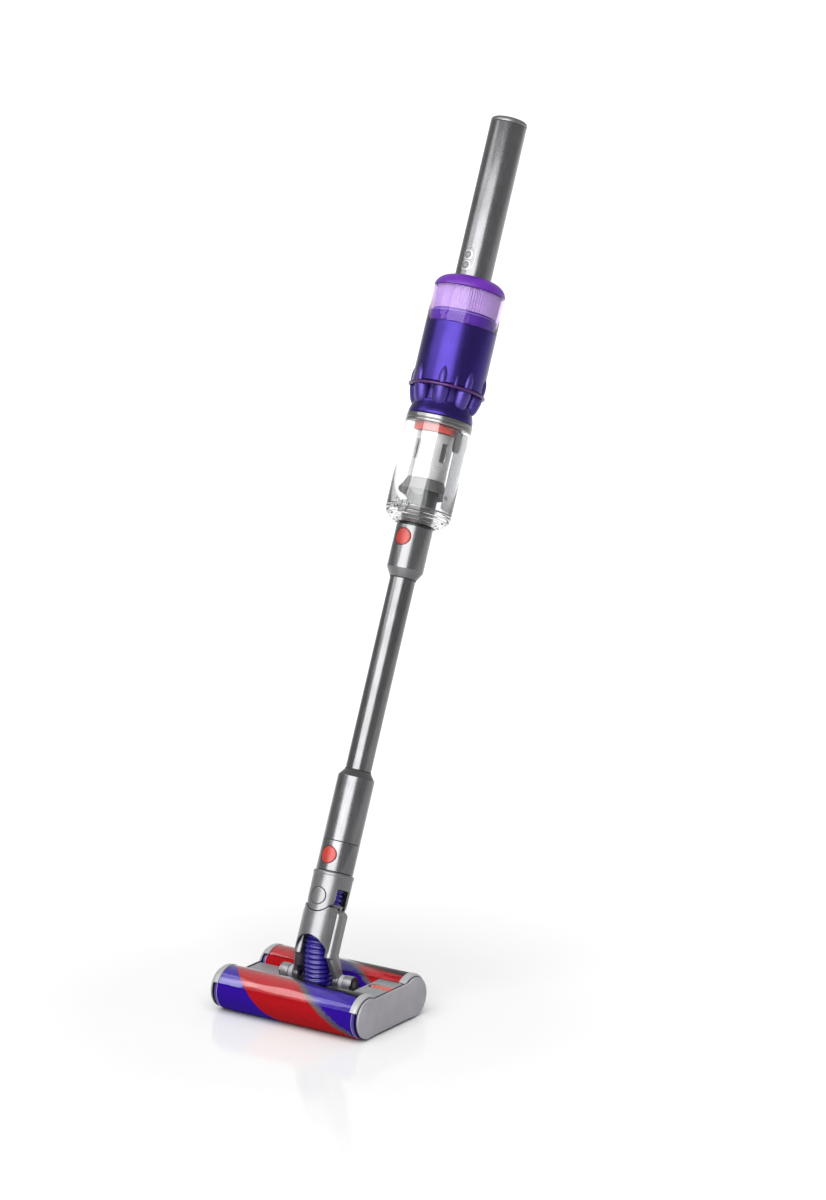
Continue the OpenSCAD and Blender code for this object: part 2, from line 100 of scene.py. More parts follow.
def rounded(outline: Outline, radius: float, steps: int = 3) -> Outline:
    """A closed outline whose corners are eased.

    Args:
        outline: Corners of the closed outline.
        radius: Distance from each corner at which the easing starts.
        steps: Number of stretches that take the place of a corner.

    Returns:
        The eased outline, with points on the axis left as they are.
    """
    eased: Outline = []
    for i, here in enumerate(outline):
        before, after = outline[i - 1], outline[(i + 1) % len(outline)]
        if abs(here[0]) < 1e-6:
            eased.append(here)
            continue
        corner = Vector(here)
        to_before, to_after = Vector(before) - corner, Vector(after) - corner
        reach = min(radius, 0.45 * to_before.length, 0.45 * to_after.length)
        first = corner + to_before.normalized() * reach
        last = corner + to_after.normalized() * reach
        for k in range(steps + 1):
            t = k / steps
            eased.append(tuple(first * (1 - t) ** 2 + corner * 2 * t * (1 - t) + last * t * t))
    return eased


def circle(radius: float, steps: int = 48) -> Outline:
    """A closed round outline about the origin."""
    return arc((0, 0), radius, 0, 360 - 360 / steps, steps - 1)


def capsule(half_length: float, radius: float, steps: int = 12) -> Outline:
    """A closed outline with straight sides and round ends, long in its second direction."""
    top = arc((0, half_length - radius), radius, 0, 180, steps)
    return top + arc((0, radius - half_length), radius, 180, 360, steps)


def wall(low: float, high: float, outer: float, inner: float) -> Outline:
    """The outline of a straight tube's wall, from one station to another."""
    return [(inner, low), (outer, low), (outer, high), (inner, high)]


# ---- shapes ----


class Shape:
    """A closed mesh being worked on, in millimetres in the frame of its bench."""

    def __init__(self, points: Iterable[Sequence[float]], faces: Iterable[Sequence[int]]) -> None:
        """Makes the mesh.

        Args:
            points: The corners.
            faces: The corners of each face, by number.
        """
        self.work = bmesh.new()
        made = [self.work.verts.new(p) for p in points]
        for face in faces:
            self.work.faces.new([made[i] for i in face])
        self._clean()

    def _clean(self) -> None:
        """Joins corners that coincide and turns the faces outwards."""
        bmesh.ops.remove_doubles(self.work, verts=self.work.verts, dist=1e-4)
        bmesh.ops.recalc_face_normals(self.work, faces=self.work.faces)

    @classmethod
    def loops(cls, rings: list[list[Vector]], closed: bool = False) -> "Shape":
        """Skins a row of rings that have equally many points.

        Args:
            rings: The rings, in order.
            closed: True if the last ring joins the first, and False to cap both ends.

        Returns:
            The closed mesh.
        """
        around, count = len(rings[0]), len(rings)
        faces = [
            (i * around + j, i * around + (j + 1) % around,
             (i + 1) % count * around + (j + 1) % around, (i + 1) % count * around + j)
            for i in range(count if closed else count - 1)
            for j in range(around)
        ]
        if not closed:
            faces += [tuple(range(around)), tuple(range((count - 1) * around, count * around))]
        return cls([p for ring in rings for p in ring], faces)

    @classmethod
    def turned(cls, outline: Outline, steps: int = 96, start: float = 0, sweep: float = 360) -> "Shape":
        """Turns an outline of (radius, station) about the bench's Z axis.

        Args:
            outline: The closed outline.
            steps: Number of flats in the sweep.
            start: First angle, in degrees from +X.
            sweep: How far the outline turns, in degrees.

        Returns:
            The turned solid.
        """
        whole = sweep >= 360
        turns = [math.radians(start + sweep * k / steps) for k in range(steps if whole else steps + 1)]
        rings = [[Vector((r * math.cos(t), r * math.sin(t), z)) for r, z in outline] for t in turns]
        if not whole:
            return cls.loops(rings)
        made = cls.loops(rings, closed=True)
        flat = [f for f in made.work.faces if f.calc_area() < 1e-9]
        bmesh.ops.delete(made.work, geom=flat, context="FACES")
        made._clean()
        return made

    @classmethod
    def prism(cls, outline: Outline, low: float, high: float) -> "Shape":
        """Carries a closed outline of (X, Y) along Z."""
        return cls.loops([[Vector((x, y, z)) for x, y in outline] for z in (low, high)])

    @classmethod
    def pad(cls, outline: Outline, surface: float, proud: float, depth: float,
            lip: float = 0.3, hole: float = 0.0, crown: float = 0.0) -> "Shape":
        """A pad that follows the front of a cylinder about Z.

        Args:
            outline: The pad's edge, as (X, station) about its middle.
            surface: Radius of the cylinder that it follows.
            proud: How far it stands out of that cylinder.
            depth: How far it reaches into it.
            lip: How far its edge is eased.
            hole: Share of the outline that is open in the middle.
            crown: How much further out its middle stands.

        Returns:
            The closed pad, about station 0.
        """
        steps = [(0.0, 0.0), (0.4, 0.0), (0.7, 0.0), (0.88, 0.1), (0.96, 0.45), (1.0, 1.0)]
        front = [(hole + (1 - hole) * t, proud + crown * (1 - t * t) - lip * d) for t, d in steps]
        sheets = front + [(1.0, -depth), (hole, -depth)]
        rings = [
            [Vector((x * t, -math.sqrt(max(0.0, (surface + out) ** 2 - (x * t) ** 2)), z * t))
             for x, z in outline]
            for t, out in sheets
        ]
        made = cls.loops(rings, closed=hole > 0)
        bmesh.ops.dissolve_degenerate(made.work, dist=1e-4, edges=made.work.edges)
        made._clean()
        return made

    def moved(self, matrix: Matrix) -> "Shape":
        """Carries the whole shape by a matrix and returns it."""
        bmesh.ops.transform(self.work, matrix=matrix, verts=self.work.verts)
        bmesh.ops.recalc_face_normals(self.work, faces=self.work.faces)
        return self

    def shifted(self, x: float = 0, y: float = 0, z: float = 0) -> "Shape":
        """Shifts the whole shape and returns it."""
        return self.moved(Matrix.Translation((x, y, z)))

    def spun(self, degrees: float) -> "Shape":
        """Turns the whole shape about the bench's Z axis and returns it."""
        return self.moved(Matrix.Rotation(math.radians(degrees), 4, "Z"))

    def eased(self, width: float, steps: int = 2, crease: float = 35) -> "Shape":
        """Bevels the edges that are sharper than an angle.

        Args:
            width: Width of the bevel.
            steps: Number of flats across it.
            crease: Least angle between two faces, in degrees.

        Returns:
            This shape.
        """
        least = math.radians(crease)
        edges = [e for e in self.work.edges if e.is_manifold and e.calc_face_angle(0) > least]
        bmesh.ops.bevel(self.work, geom=edges, offset=width, segments=steps, profile=0.5,
                        affect="EDGES", clamp_overlap=True)
        return self

    def shrunk(self, depth: float) -> "Shape":
        """Draws the whole surface in by a depth, to leave room for a neighbour, and returns it."""
        self.work.normal_update()
        for vert in self.work.verts:
            vert.co -= vert.normal * depth
        return self

    def with_also(self, *others: "Shape") -> "Shape":
        """Takes other shapes into this one as further shells, and returns it."""
        for other in others:
            mesh = bpy.data.meshes.new("shell")
            other.work.to_mesh(mesh)
            self.work.from_mesh(mesh)
            bpy.data.meshes.remove(mesh)
        return self

    def _stand_in(self) -> bpy.types.Object:
        """A passing object that holds this mesh."""
        mesh = bpy.data.meshes.new("tool")
        self.work.to_mesh(mesh)
        made = bpy.data.objects.new("tool", mesh)
        bpy.context.scene.collection.objects.link(made)
        return made

    def _boolean(self, operation: str, others: Sequence["Shape"]) -> "Shape":
        """Applies one boolean with each of the other shapes in turn."""
        target = self._stand_in()
        tools = [other._stand_in() for other in others]
        for tool in tools:
            step = target.modifiers.new("step", "BOOLEAN")
            step.operation, step.solver, step.object = operation, "EXACT", tool
        graph = bpy.context.evaluated_depsgraph_get()
        mesh = bpy.data.meshes.new_from_object(target.evaluated_get(graph))
        self.work.free()
        self.work = bmesh.new()
        self.work.from_mesh(mesh)
        for made in (target, *tools):
            bpy.data.objects.remove(made)
        self._clean()
        return self

    def cut(self, *tools: "Shape") -> "Shape":
        """Takes the tools' volume away and returns this shape."""
        return self._boolean("DIFFERENCE", tools)

    def mesh(self, name: str) -> bpy.types.Mesh:
        """Writes the shape to a mesh in metres.

        Args:
            name: The mesh's name.

        Returns:
            The new mesh.
        """
        made = bpy.data.meshes.new(name)
        self.work.to_mesh(made)
        self.work.free()
        made.transform(Matrix.Scale(MM, 4))
        return made


def front_bar(radius: float, station: float, near: float, far: float, steps: int = 64) -> Shape:
    """A round bar that points forwards (-Y), from one depth to another, at a station."""
    made = Shape.prism(circle(radius, steps), near, far)
    return made.moved(Matrix.Translation((0, 0, station)) @ Matrix.Rotation(math.radians(90), 4, "X"))


# ---- finishes ----


class Brush(Enum):
    """Which way a surface is brushed, as the share of the grain along X, Y and Z."""

    NONE = (1.0, 1.0, 1.0)
    ALONG = (1.0, 1.0, 0.02)
    AROUND = (0.04, 0.04, 1.0)
    ACROSS = (0.03, 1.0, 1.0)


class NodeDesk:
    """Lays out the nodes of one material."""

    def __init__(self, material: bpy.types.Material) -> None:
        """Takes the material's tree, which already has its shader."""
        self.tree = material.node_tree
        self.shader = self.tree.nodes["Principled BSDF"]
        self.place = self.add("ShaderNodeTexCoord").outputs["Object"]

    def add(self, kind: str, links: dict | None = None, **settings: object) -> bpy.types.Node:
        """Adds a node.

        Args:
            kind: The node's type.
            links: What each input holds: another node's output, or a value.
            settings: The node's own properties.

        Returns:
            The new node.
        """
        node = self.tree.nodes.new(kind)
        for key, value in settings.items():
            setattr(node, key, value)
        for key, value in (links or {}).items():
            if isinstance(value, bpy.types.NodeSocket):
                self.tree.links.new(value, node.inputs[key])
            else:
                node.inputs[key].default_value = value
        return node

    def math(self, operation: str, first: object, second: object = 0.0) -> bpy.types.NodeSocket:
        """The result of one sum of two values or outputs."""
        return self.add("ShaderNodeMath", {0: first, 1: second}, operation=operation).outputs[0]

    def noise(self, size: float, brush: Brush = Brush.NONE, detail: float = 3) -> bpy.types.NodeSocket:
        """Noise in the object's own frame.

        Args:
            size: Size of its grains, in millimetres.
            brush: The way in which the grains are drawn out.
            detail: Number of finer layers.

        Returns:
            The noise, about 0.5.
        """
        mapping = self.add("ShaderNodeMapping", {"Vector": self.place, "Scale": brush.value})
        links = {"Vector": mapping.outputs[0], "Scale": 1 / (size * MM), "Detail": detail}
        return self.add("ShaderNodeTexNoise", links).outputs["Fac"]

    def ramp(self, value: object, stops: list[tuple[float, tuple]],
             sharp: bool = False) -> bpy.types.NodeSocket:
        """A colour read from a value.

        Args:
            value: What is looked up.
            stops: Places from 0 to 1, with their colours.
            sharp: True if the colours don't run into each other.

        Returns:
            The colour.
        """
        node = self.add("ShaderNodeValToRGB", {"Fac": value})
        band = node.color_ramp
        band.interpolation = "CONSTANT" if sharp else "LINEAR"
        band.elements[0].position, band.elements[0].color = stops[0]
        band.elements[1].position, band.elements[1].color = stops[-1]
        for position, colour in stops[1:-1]:
            band.elements.new(position).color = colour
        return node.outputs["Color"]

    def between(self, value: object, low: float, high: float) -> bpy.types.NodeSocket:
        """Carries noise, from 0.3 to 0.7, to a range of its own."""
        links = {"Value": value, "From Min": 0.3, "From Max": 0.7, "To Min": low, "To Max": high}
        return self.add("ShaderNodeMapRange", links).outputs[0]

    def feed(self, **links: object) -> None:
        """Sets inputs of the shader, with spaces in their names written as underscores."""
        for key, value in links.items():
            socket = self.shader.inputs[key.replace("_", " ")]
            if isinstance(value, bpy.types.NodeSocket):
                self.tree.links.new(value, socket)
            else:
                socket.default_value = value

    def bump(self, height: object, strength: float, distance: float) -> None:
        """Raises the surface by a height, over a distance in millimetres."""
        links = {"Height": height, "Strength": strength, "Distance": distance * MM}
        self.feed(Normal=self.add("ShaderNodeBump", links).outputs[0])


@dataclass(frozen=True)
class Finish:
    """A surface finish, made once and laid on any number of pieces."""

    name: str

    def material(self) -> bpy.types.Material:
        """The finish's material, made the first time that it is asked for."""
        label = f"finish_{self.name}"
        made = bpy.data.materials.get(label)
        if made is None:
            made = bpy.data.materials.new(label)
            made.use_nodes = True
            self.build(NodeDesk(made))
        return made

    def build(self, desk: NodeDesk) -> None:
        """Lays out the finish's nodes."""
        raise NotImplementedError


@dataclass(frozen=True)
class MouldedPlastic(Finish):
    """Opaque plastic with the fine grain of its mould."""

    colour: Colour = (0.2, 0.2, 0.2)
    roughness: float = 0.4
    grain: float = 0.12
    grain_size: float = 0.5
    gloss: float = 0.0
    metal: float = 0.0
    brush: Brush = Brush.NONE

    def build(self, desk: NodeDesk) -> None:
        """Mottles the colour and the gloss, and raises the grain."""
        cloud = desk.noise(18, detail=4)
        grain = desk.noise(self.grain_size, self.brush)
        colour = desk.ramp(cloud, [(0.3, mixed(self.colour, 0.92)), (0.7, mixed(self.colour, 1.08))])
        desk.feed(Base_Color=colour, Metallic=self.metal, Coat_Weight=self.gloss, Coat_Roughness=0.08)
        desk.feed(Roughness=desk.between(grain, self.roughness - 0.05, self.roughness + 0.05))
        desk.bump(grain, self.grain, 0.05)


@dataclass(frozen=True)
class BrushedMetal(Finish):
    """Satin metal or metallic paint with a drawn grain under a thin lacquer."""

    colour: Colour = (0.1, 0.1, 0.1)
    edge: Colour = (0.1, 0.1, 0.1)
    roughness: float = 0.3
    grain: float = 0.15
    grain_size: float = 0.35
    lacquer: float = 0.2
    brush: Brush = Brush.ALONG
    metal: float = 1.0

    def build(self, desk: NodeDesk) -> None:
        """Draws the grain out in the colour, the gloss and the surface."""
        grain = desk.noise(self.grain_size, self.brush, 4)
        cloud = desk.noise(30, detail=2)
        both = desk.math("MULTIPLY_ADD", grain, 0.7)
        desk.tree.links.new(desk.math("MULTIPLY", cloud, 0.3), both.node.inputs[2])
        colour = desk.ramp(both, [(0.35, mixed(self.colour, 0.88)), (0.65, mixed(self.edge, 1.1))])
        desk.feed(Base_Color=colour, Metallic=self.metal, Coat_Weight=self.lacquer, Coat_Roughness=0.12)
        desk.feed(Roughness=desk.between(grain, self.roughness - 0.05, self.roughness + 0.06))
        desk.bump(grain, self.grain, 0.04)


@dataclass(frozen=True)
class ClearPlastic(Finish):
    """Transparent plastic with a faint haze."""

    colour: Colour = (0.95, 0.96, 0.97)
    haze: float = 0.03
    index: float = 1.46
    cover: float = 1.0

    def build(self, desk: NodeDesk) -> None:
        """Lets light through and varies the haze slightly."""
        cloud = desk.noise(9, detail=3)
        colour = desk.ramp(cloud, [(0.3, mixed(self.colour, 0.97)), (0.7, mixed(self.colour, 1.02))])
        desk.feed(Base_Color=colour, IOR=self.index, Transmission_Weight=self.cover)
        desk.feed(Roughness=desk.between(cloud, max(0.0, self.haze - 0.02), self.haze + 0.02))


@dataclass(frozen=True)
class NapFabric(Finish):
    """Soft pile with helical stripes that run along a roller.

    The stripes are read at an angle about the roller that a twist shifts along it.
    """

    axis: Point = (0.0, 0.0)
    stops: tuple[tuple[float, Colour], ...] = ()
    twist: float = 1.85
    easing: float = -0.00325
    pile: float = 0.5

    def stripe(self, desk: NodeDesk) -> bpy.types.NodeSocket:
        """The share of a turn at which the stripes are read."""
        place = desk.add("ShaderNodeSeparateXYZ", {0: desk.place}).outputs
        up = desk.math("SUBTRACT", place[2], self.axis[1] * MM)
        forward = desk.math("SUBTRACT", self.axis[0] * MM, place[1])
        angle = desk.math("MULTIPLY", desk.math("ARCTAN2", up, forward), 180 / math.pi)
        along = desk.math("DIVIDE", place[0], MM)
        slope = desk.math("ADD", desk.math("MULTIPLY", along, self.easing), self.twist)
        shifted = desk.math("ADD", angle, desk.math("MULTIPLY", along, slope))
        ragged = desk.math("MULTIPLY", desk.math("SUBTRACT", desk.noise(1.2), 0.5), 5.0)
        turn = desk.math("FLOORED_MODULO", desk.math("ADD", shifted, ragged), 360.0)
        return desk.math("DIVIDE", turn, 360.0)

    def build(self, desk: NodeDesk) -> None:
        """Lays the stripes, the painted shade between the tufts, darkest where the bump is lowest, and the pile's
        sheen.
        """
        colour = desk.ramp(self.stripe(desk), [(t, mixed(c, 1)) for t, c in self.stops], sharp=True)
        tufts = desk.noise(self.pile, detail=5)
        # Painted shade: the colour darkens where the tufts' bump is lowest.
        shade = desk.ramp(tufts, [(0.3, (0.72, 0.72, 0.72, 1)), (0.65, (1, 1, 1, 1))])
        mix = desk.add("ShaderNodeMix", {"Factor": 1.0}, data_type="RGBA", blend_type="MULTIPLY")
        desk.tree.links.new(colour, mix.inputs[6])
        desk.tree.links.new(shade, mix.inputs[7])
        desk.feed(Base_Color=mix.outputs[2], Roughness=0.95, Sheen_Weight=0.02, Sheen_Roughness=0.5)
        desk.feed(Specular_IOR_Level=0.02)
        desk.bump(tufts, 0.5, 0.3)


@dataclass(frozen=True)
class Pleats(Finish):
    """Folded filter paper."""

    colour: Colour = (0.3, 0.3, 0.3)

    def build(self, desk: NodeDesk) -> None:
        """Gives the paper its fibres."""
        fibres = desk.noise(0.8, Brush.AROUND, 5)
        colour = desk.ramp(fibres, [(0.3, mixed(self.colour, 0.85)), (0.7, mixed(self.colour, 1.1))])
        desk.feed(Base_Color=colour, Roughness=0.9)
        desk.bump(fibres, 0.3, 0.1)


@dataclass(frozen=True)
class StudioFloor(Finish):
    """Smooth white floor that hardly varies, with a painted glow that grows with distance from the origin."""

    shade: float = 0.7
    roughness: float = 0.1
    near: float = 0.25
    far: float = 1.3
    lift: float = 0.45

    def build(self, desk: NodeDesk) -> None:
        """Lays the white with a faint cloud in its gloss, and a glow that grows with distance from the origin:
        painted light that lifts the far floor to white.
        """
        cloud = desk.noise(400, detail=2)
        white = (self.shade,) * 3
        colour = desk.ramp(cloud, [(0.3, mixed(white, 0.99)), (0.7, mixed(white, 1.01))])
        desk.feed(Base_Color=colour, Roughness=self.roughness, Emission_Color=(1.0, 1.0, 1.0, 1.0))
        # Painted glow: the emission rises from nothing near the head to the lift far away.
        away = desk.add("ShaderNodeVectorMath", {0: desk.place}, operation="LENGTH").outputs["Value"]
        links = {"Value": away, "From Min": self.near, "From Max": self.far, "To Min": 0.0,
                 "To Max": self.lift}
        desk.feed(Emission_Strength=desk.add("ShaderNodeMapRange", links).outputs[0])


FLOOR_WHITE = StudioFloor("floor_white")
COVER_CLEAR = ClearPlastic("clear_cover", haze=0.04)
BIN_CLEAR = ClearPlastic("clear_bin_wall", colour=(0.97, 0.975, 0.98), haze=0.02)
CAP_TINT = ClearPlastic("tinted_cap", colour=tone(228, 212, 240), haze=0.03, index=1.25)
CATCH_TINT = ClearPlastic("catch_tint", colour=tone(226, 128, 108), haze=0.12, cover=0.6)
# Grey, part-clear tint of the bin rails: partly the rails themselves, partly a painted reflection of dark
# surroundings in the bin's inner wall.
RAIL_PAINTED_REFLECTION = ClearPlastic("rail_painted_reflection", colour=tone(176, 177, 180), haze=0.15, cover=0.8)
CHASSIS = MouldedPlastic("chassis_black", tone(44, 45, 49), 0.45)
SOLE = MouldedPlastic("sole_black", tone(34, 35, 38), 0.55, grain=0.25)
DECK = MouldedPlastic("deck_grey", tone(128, 129, 132), 0.4, metal=0.2)
CAP = MouldedPlastic("cap_grey", tone(142, 140, 146), 0.5, grain=0.08)
BAND = MouldedPlastic("band_grey", tone(152, 152, 154), 0.42, grain=0.5, metal=0.2)
ROLLER_END = MouldedPlastic("roller_violet", tone(44, 20, 112), 0.3, gloss=0.2)
TRIM = MouldedPlastic("trim_violet", tone(150, 140, 190), 0.35, gloss=0.2)
STEEL = BrushedMetal("pin_steel", (0.25, 0.25, 0.26), (0.3, 0.3, 0.31), 0.25, brush=Brush.ACROSS)
SCREWS = BrushedMetal("screw_steel", (0.3, 0.3, 0.31), (0.35, 0.35, 0.36), 0.3, brush=Brush.NONE)
MOTOR = BrushedMetal("motor_metal", (0.2, 0.2, 0.21), (0.25, 0.25, 0.26), 0.4, brush=Brush.AROUND)
CASTOR = MouldedPlastic("castor_plastic", tone(60, 61, 66), 0.5)
TYRE = MouldedPlastic("castor_rubber", tone(22, 22, 24), 0.7, grain=0.3)
BUSH_LIGHT = MouldedPlastic("bush_grey", tone(148, 148, 154), 0.4, gloss=0.1)
BARREL = BrushedMetal("barrel_grey", (0.2, 0.2, 0.21), (0.25, 0.25, 0.26), 0.4, brush=Brush.ACROSS, metal=0.5)
NECK = BrushedMetal("neck_metal", (0.13, 0.13, 0.135), (0.16, 0.16, 0.166), 0.33, grain=0.06, metal=0.7)
WAND_METAL = BrushedMetal("wand_metal", (0.11, 0.11, 0.115), (0.145, 0.145, 0.15), 0.26, grain=0.08)
TUBE_METAL = BrushedMetal("tube_metal", (0.1, 0.1, 0.103), (0.13, 0.13, 0.134), 0.22, grain=0.12)
SILVER = BrushedMetal("rim_silver", (0.13, 0.13, 0.13), (0.18, 0.18, 0.18), 0.24, brush=Brush.AROUND)
SHROUD = MouldedPlastic("shroud_grey", tone(172, 172, 170), 0.36, gloss=0.15, metal=0.35)
SKIRT = MouldedPlastic("skirt_grey", tone(84, 84, 84), 0.4, metal=0.4)
# Near-black for gaps, seams and the black stop, and also painted shadow behind the end plates.
GAP_AND_SHADOW = MouldedPlastic("gap_and_shadow_black", tone(14, 14, 16), 0.6)
INNER = MouldedPlastic("inner_black", tone(30, 30, 33), 0.4)
HOSE = MouldedPlastic("hose_blue", tone(30, 14, 120), 0.26, grain=0.02, gloss=0.0)
BUTTON_RED = MouldedPlastic("button_red", tone(156, 34, 24), 0.35, grain=0.04)
RING_RED = MouldedPlastic("ring_red", tone(178, 44, 26), 0.4, grain=0.05)
BODY_VIOLET = BrushedMetal("body_violet", (0.028, 0.017, 0.115), (0.034, 0.021, 0.145), 0.3, grain=0.05,
                           lacquer=0.0)
POD_VIOLET = MouldedPlastic("cyclone_violet", (0.036, 0.018, 0.16), 0.36, grain=0.03, metal=0.6)
RING_PLUM = MouldedPlastic("ring_magenta", tone(62, 16, 84), 0.35, metal=0.3)
LINER = MouldedPlastic("cap_liner", tone(66, 4, 128), 0.55)
CROWN = MouldedPlastic("cap_crown", tone(84, 16, 140), 0.4, grain=0.03)
PAPER = Pleats("filter_white", tone(176, 165, 188))
KEYS = MouldedPlastic("key_grey", tone(92, 92, 97), 0.35, metal=0.5)
CELLS = MouldedPlastic("cell_wrap", tone(60, 110, 70), 0.4, gloss=0.3)


# ---- benches ----


@dataclass(frozen=True)
class Bench:
    """A frame that pieces are shaped in, in millimetres, and its place in the world."""

    place: Matrix

    def extent(self, node: str) -> tuple[Vector, Vector]:
        """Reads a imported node's size.

        Args:
            node: The node's name.

        Returns:
            Its lowest and highest corner on this bench, in millimetres.
        """
        back = self.place.inverted()
        points = [back @ v.co / MM for v in frame["nodes"][node].data.vertices]
        low = Vector([min(p[i] for p in points) for i in range(3)])
        high = Vector([max(p[i] for p in points) for i in range(3)])
        return low, high

    def piece(self, name: str, shape: Shape, finish: Finish, body: str | None, slot: str,
              *nodes: str, crease: float = 35) -> bpy.types.Object:
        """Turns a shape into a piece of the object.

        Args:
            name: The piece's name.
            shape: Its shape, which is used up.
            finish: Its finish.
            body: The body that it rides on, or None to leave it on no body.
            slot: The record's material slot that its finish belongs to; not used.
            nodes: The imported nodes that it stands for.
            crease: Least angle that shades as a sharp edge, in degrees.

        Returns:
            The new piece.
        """
        mesh = shape.mesh(name)
        made = bpy.data.objects.new(name, mesh)
        bpy.context.scene.collection.objects.link(made)
        made.matrix_world = self.place
        mesh.materials.append(finish.material())
        mesh.shade_smooth()
        mesh.set_sharp_from_angle(angle=math.radians(crease))
        if nodes:
            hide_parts(*nodes)
        if body is not None:
            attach(made, body)
        LOG.info("made %s, %d faces, for %s", name, len(mesh.polygons), ", ".join(nodes) or "no node")
        return made

    def skin(self, node: str, grain: float, smoothing: int) -> Shape:
        """Draws one seamless skin, with soft edges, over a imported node.

        Args:
            node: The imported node.
            grain: Size of the skin's faces, in millimetres.
            smoothing: How many times the skin is relaxed.

        Returns:
            The skin, on this bench.
        """
        source = frame["nodes"][node]
        made = bpy.data.objects.new("skin", source.data.copy())
        bpy.context.scene.collection.objects.link(made)
        made.data.transform(Matrix.Scale(1 / MM, 4) @ self.place.inverted())
        remesh = made.modifiers.new("remesh", "REMESH")
        remesh.mode, remesh.voxel_size = "VOXEL", grain
        relax = made.modifiers.new("relax", "SMOOTH")
        relax.iterations, relax.factor = smoothing, 0.5
        graph = bpy.context.evaluated_depsgraph_get()
        mesh = bpy.data.meshes.new_from_object(made.evaluated_get(graph))
        bpy.data.objects.remove(made)
        shape = Shape([], [])
        shape.work.from_mesh(mesh)
        return shape


def dress(finish: Finish, *nodes: str) -> None:
    """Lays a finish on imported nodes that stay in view."""
    for node in nodes:
        mesh = frame["nodes"][node].data
        mesh.materials.clear()
        mesh.materials.append(finish.material())
        LOG.info("dressed %s in %s", node, finish.name)


def joint(name: str) -> dict:
    """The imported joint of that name."""
    return next(j for j in frame["joints"] if j["name"] == name)


def wand_bench() -> Bench:
    """The bench of everything above the hinge: Z is the station along the wand, -Y the front."""
    hinge = Vector(joint("neck_pitch")["pos_m"])
    up = Vector(joint("wand_off")["axis"]).normalized()
    across = Vector((1, 0, 0))
    back = up.cross(across)
    pivot = Vector(joint("neck_swing")["pos_m"])
    station = (pivot - hinge).dot(up)
    foot = pivot - up * station
    turn = Matrix((across, back, up)).transposed().to_4x4()
    return Bench(Matrix.Translation(foot) @ turn)


FLOOR = Bench(Matrix.Identity(4))


# ---- floor head ----


class Side(Enum):
    """The front or the rear of the head, as the sign of Y."""

    FRONT = -1
    REAR = 1


def about_roller(side: Side, axis: Point) -> Matrix:
    """Carries a shape turned about Z onto a roller's axis, with angle 0 pointing outwards."""
    outward = side.value
    return Matrix(((0, 0, 1, 0), (outward, 0, 0, axis[0]), (0, 1, 0, axis[1]), (0, 0, 0, 1)))


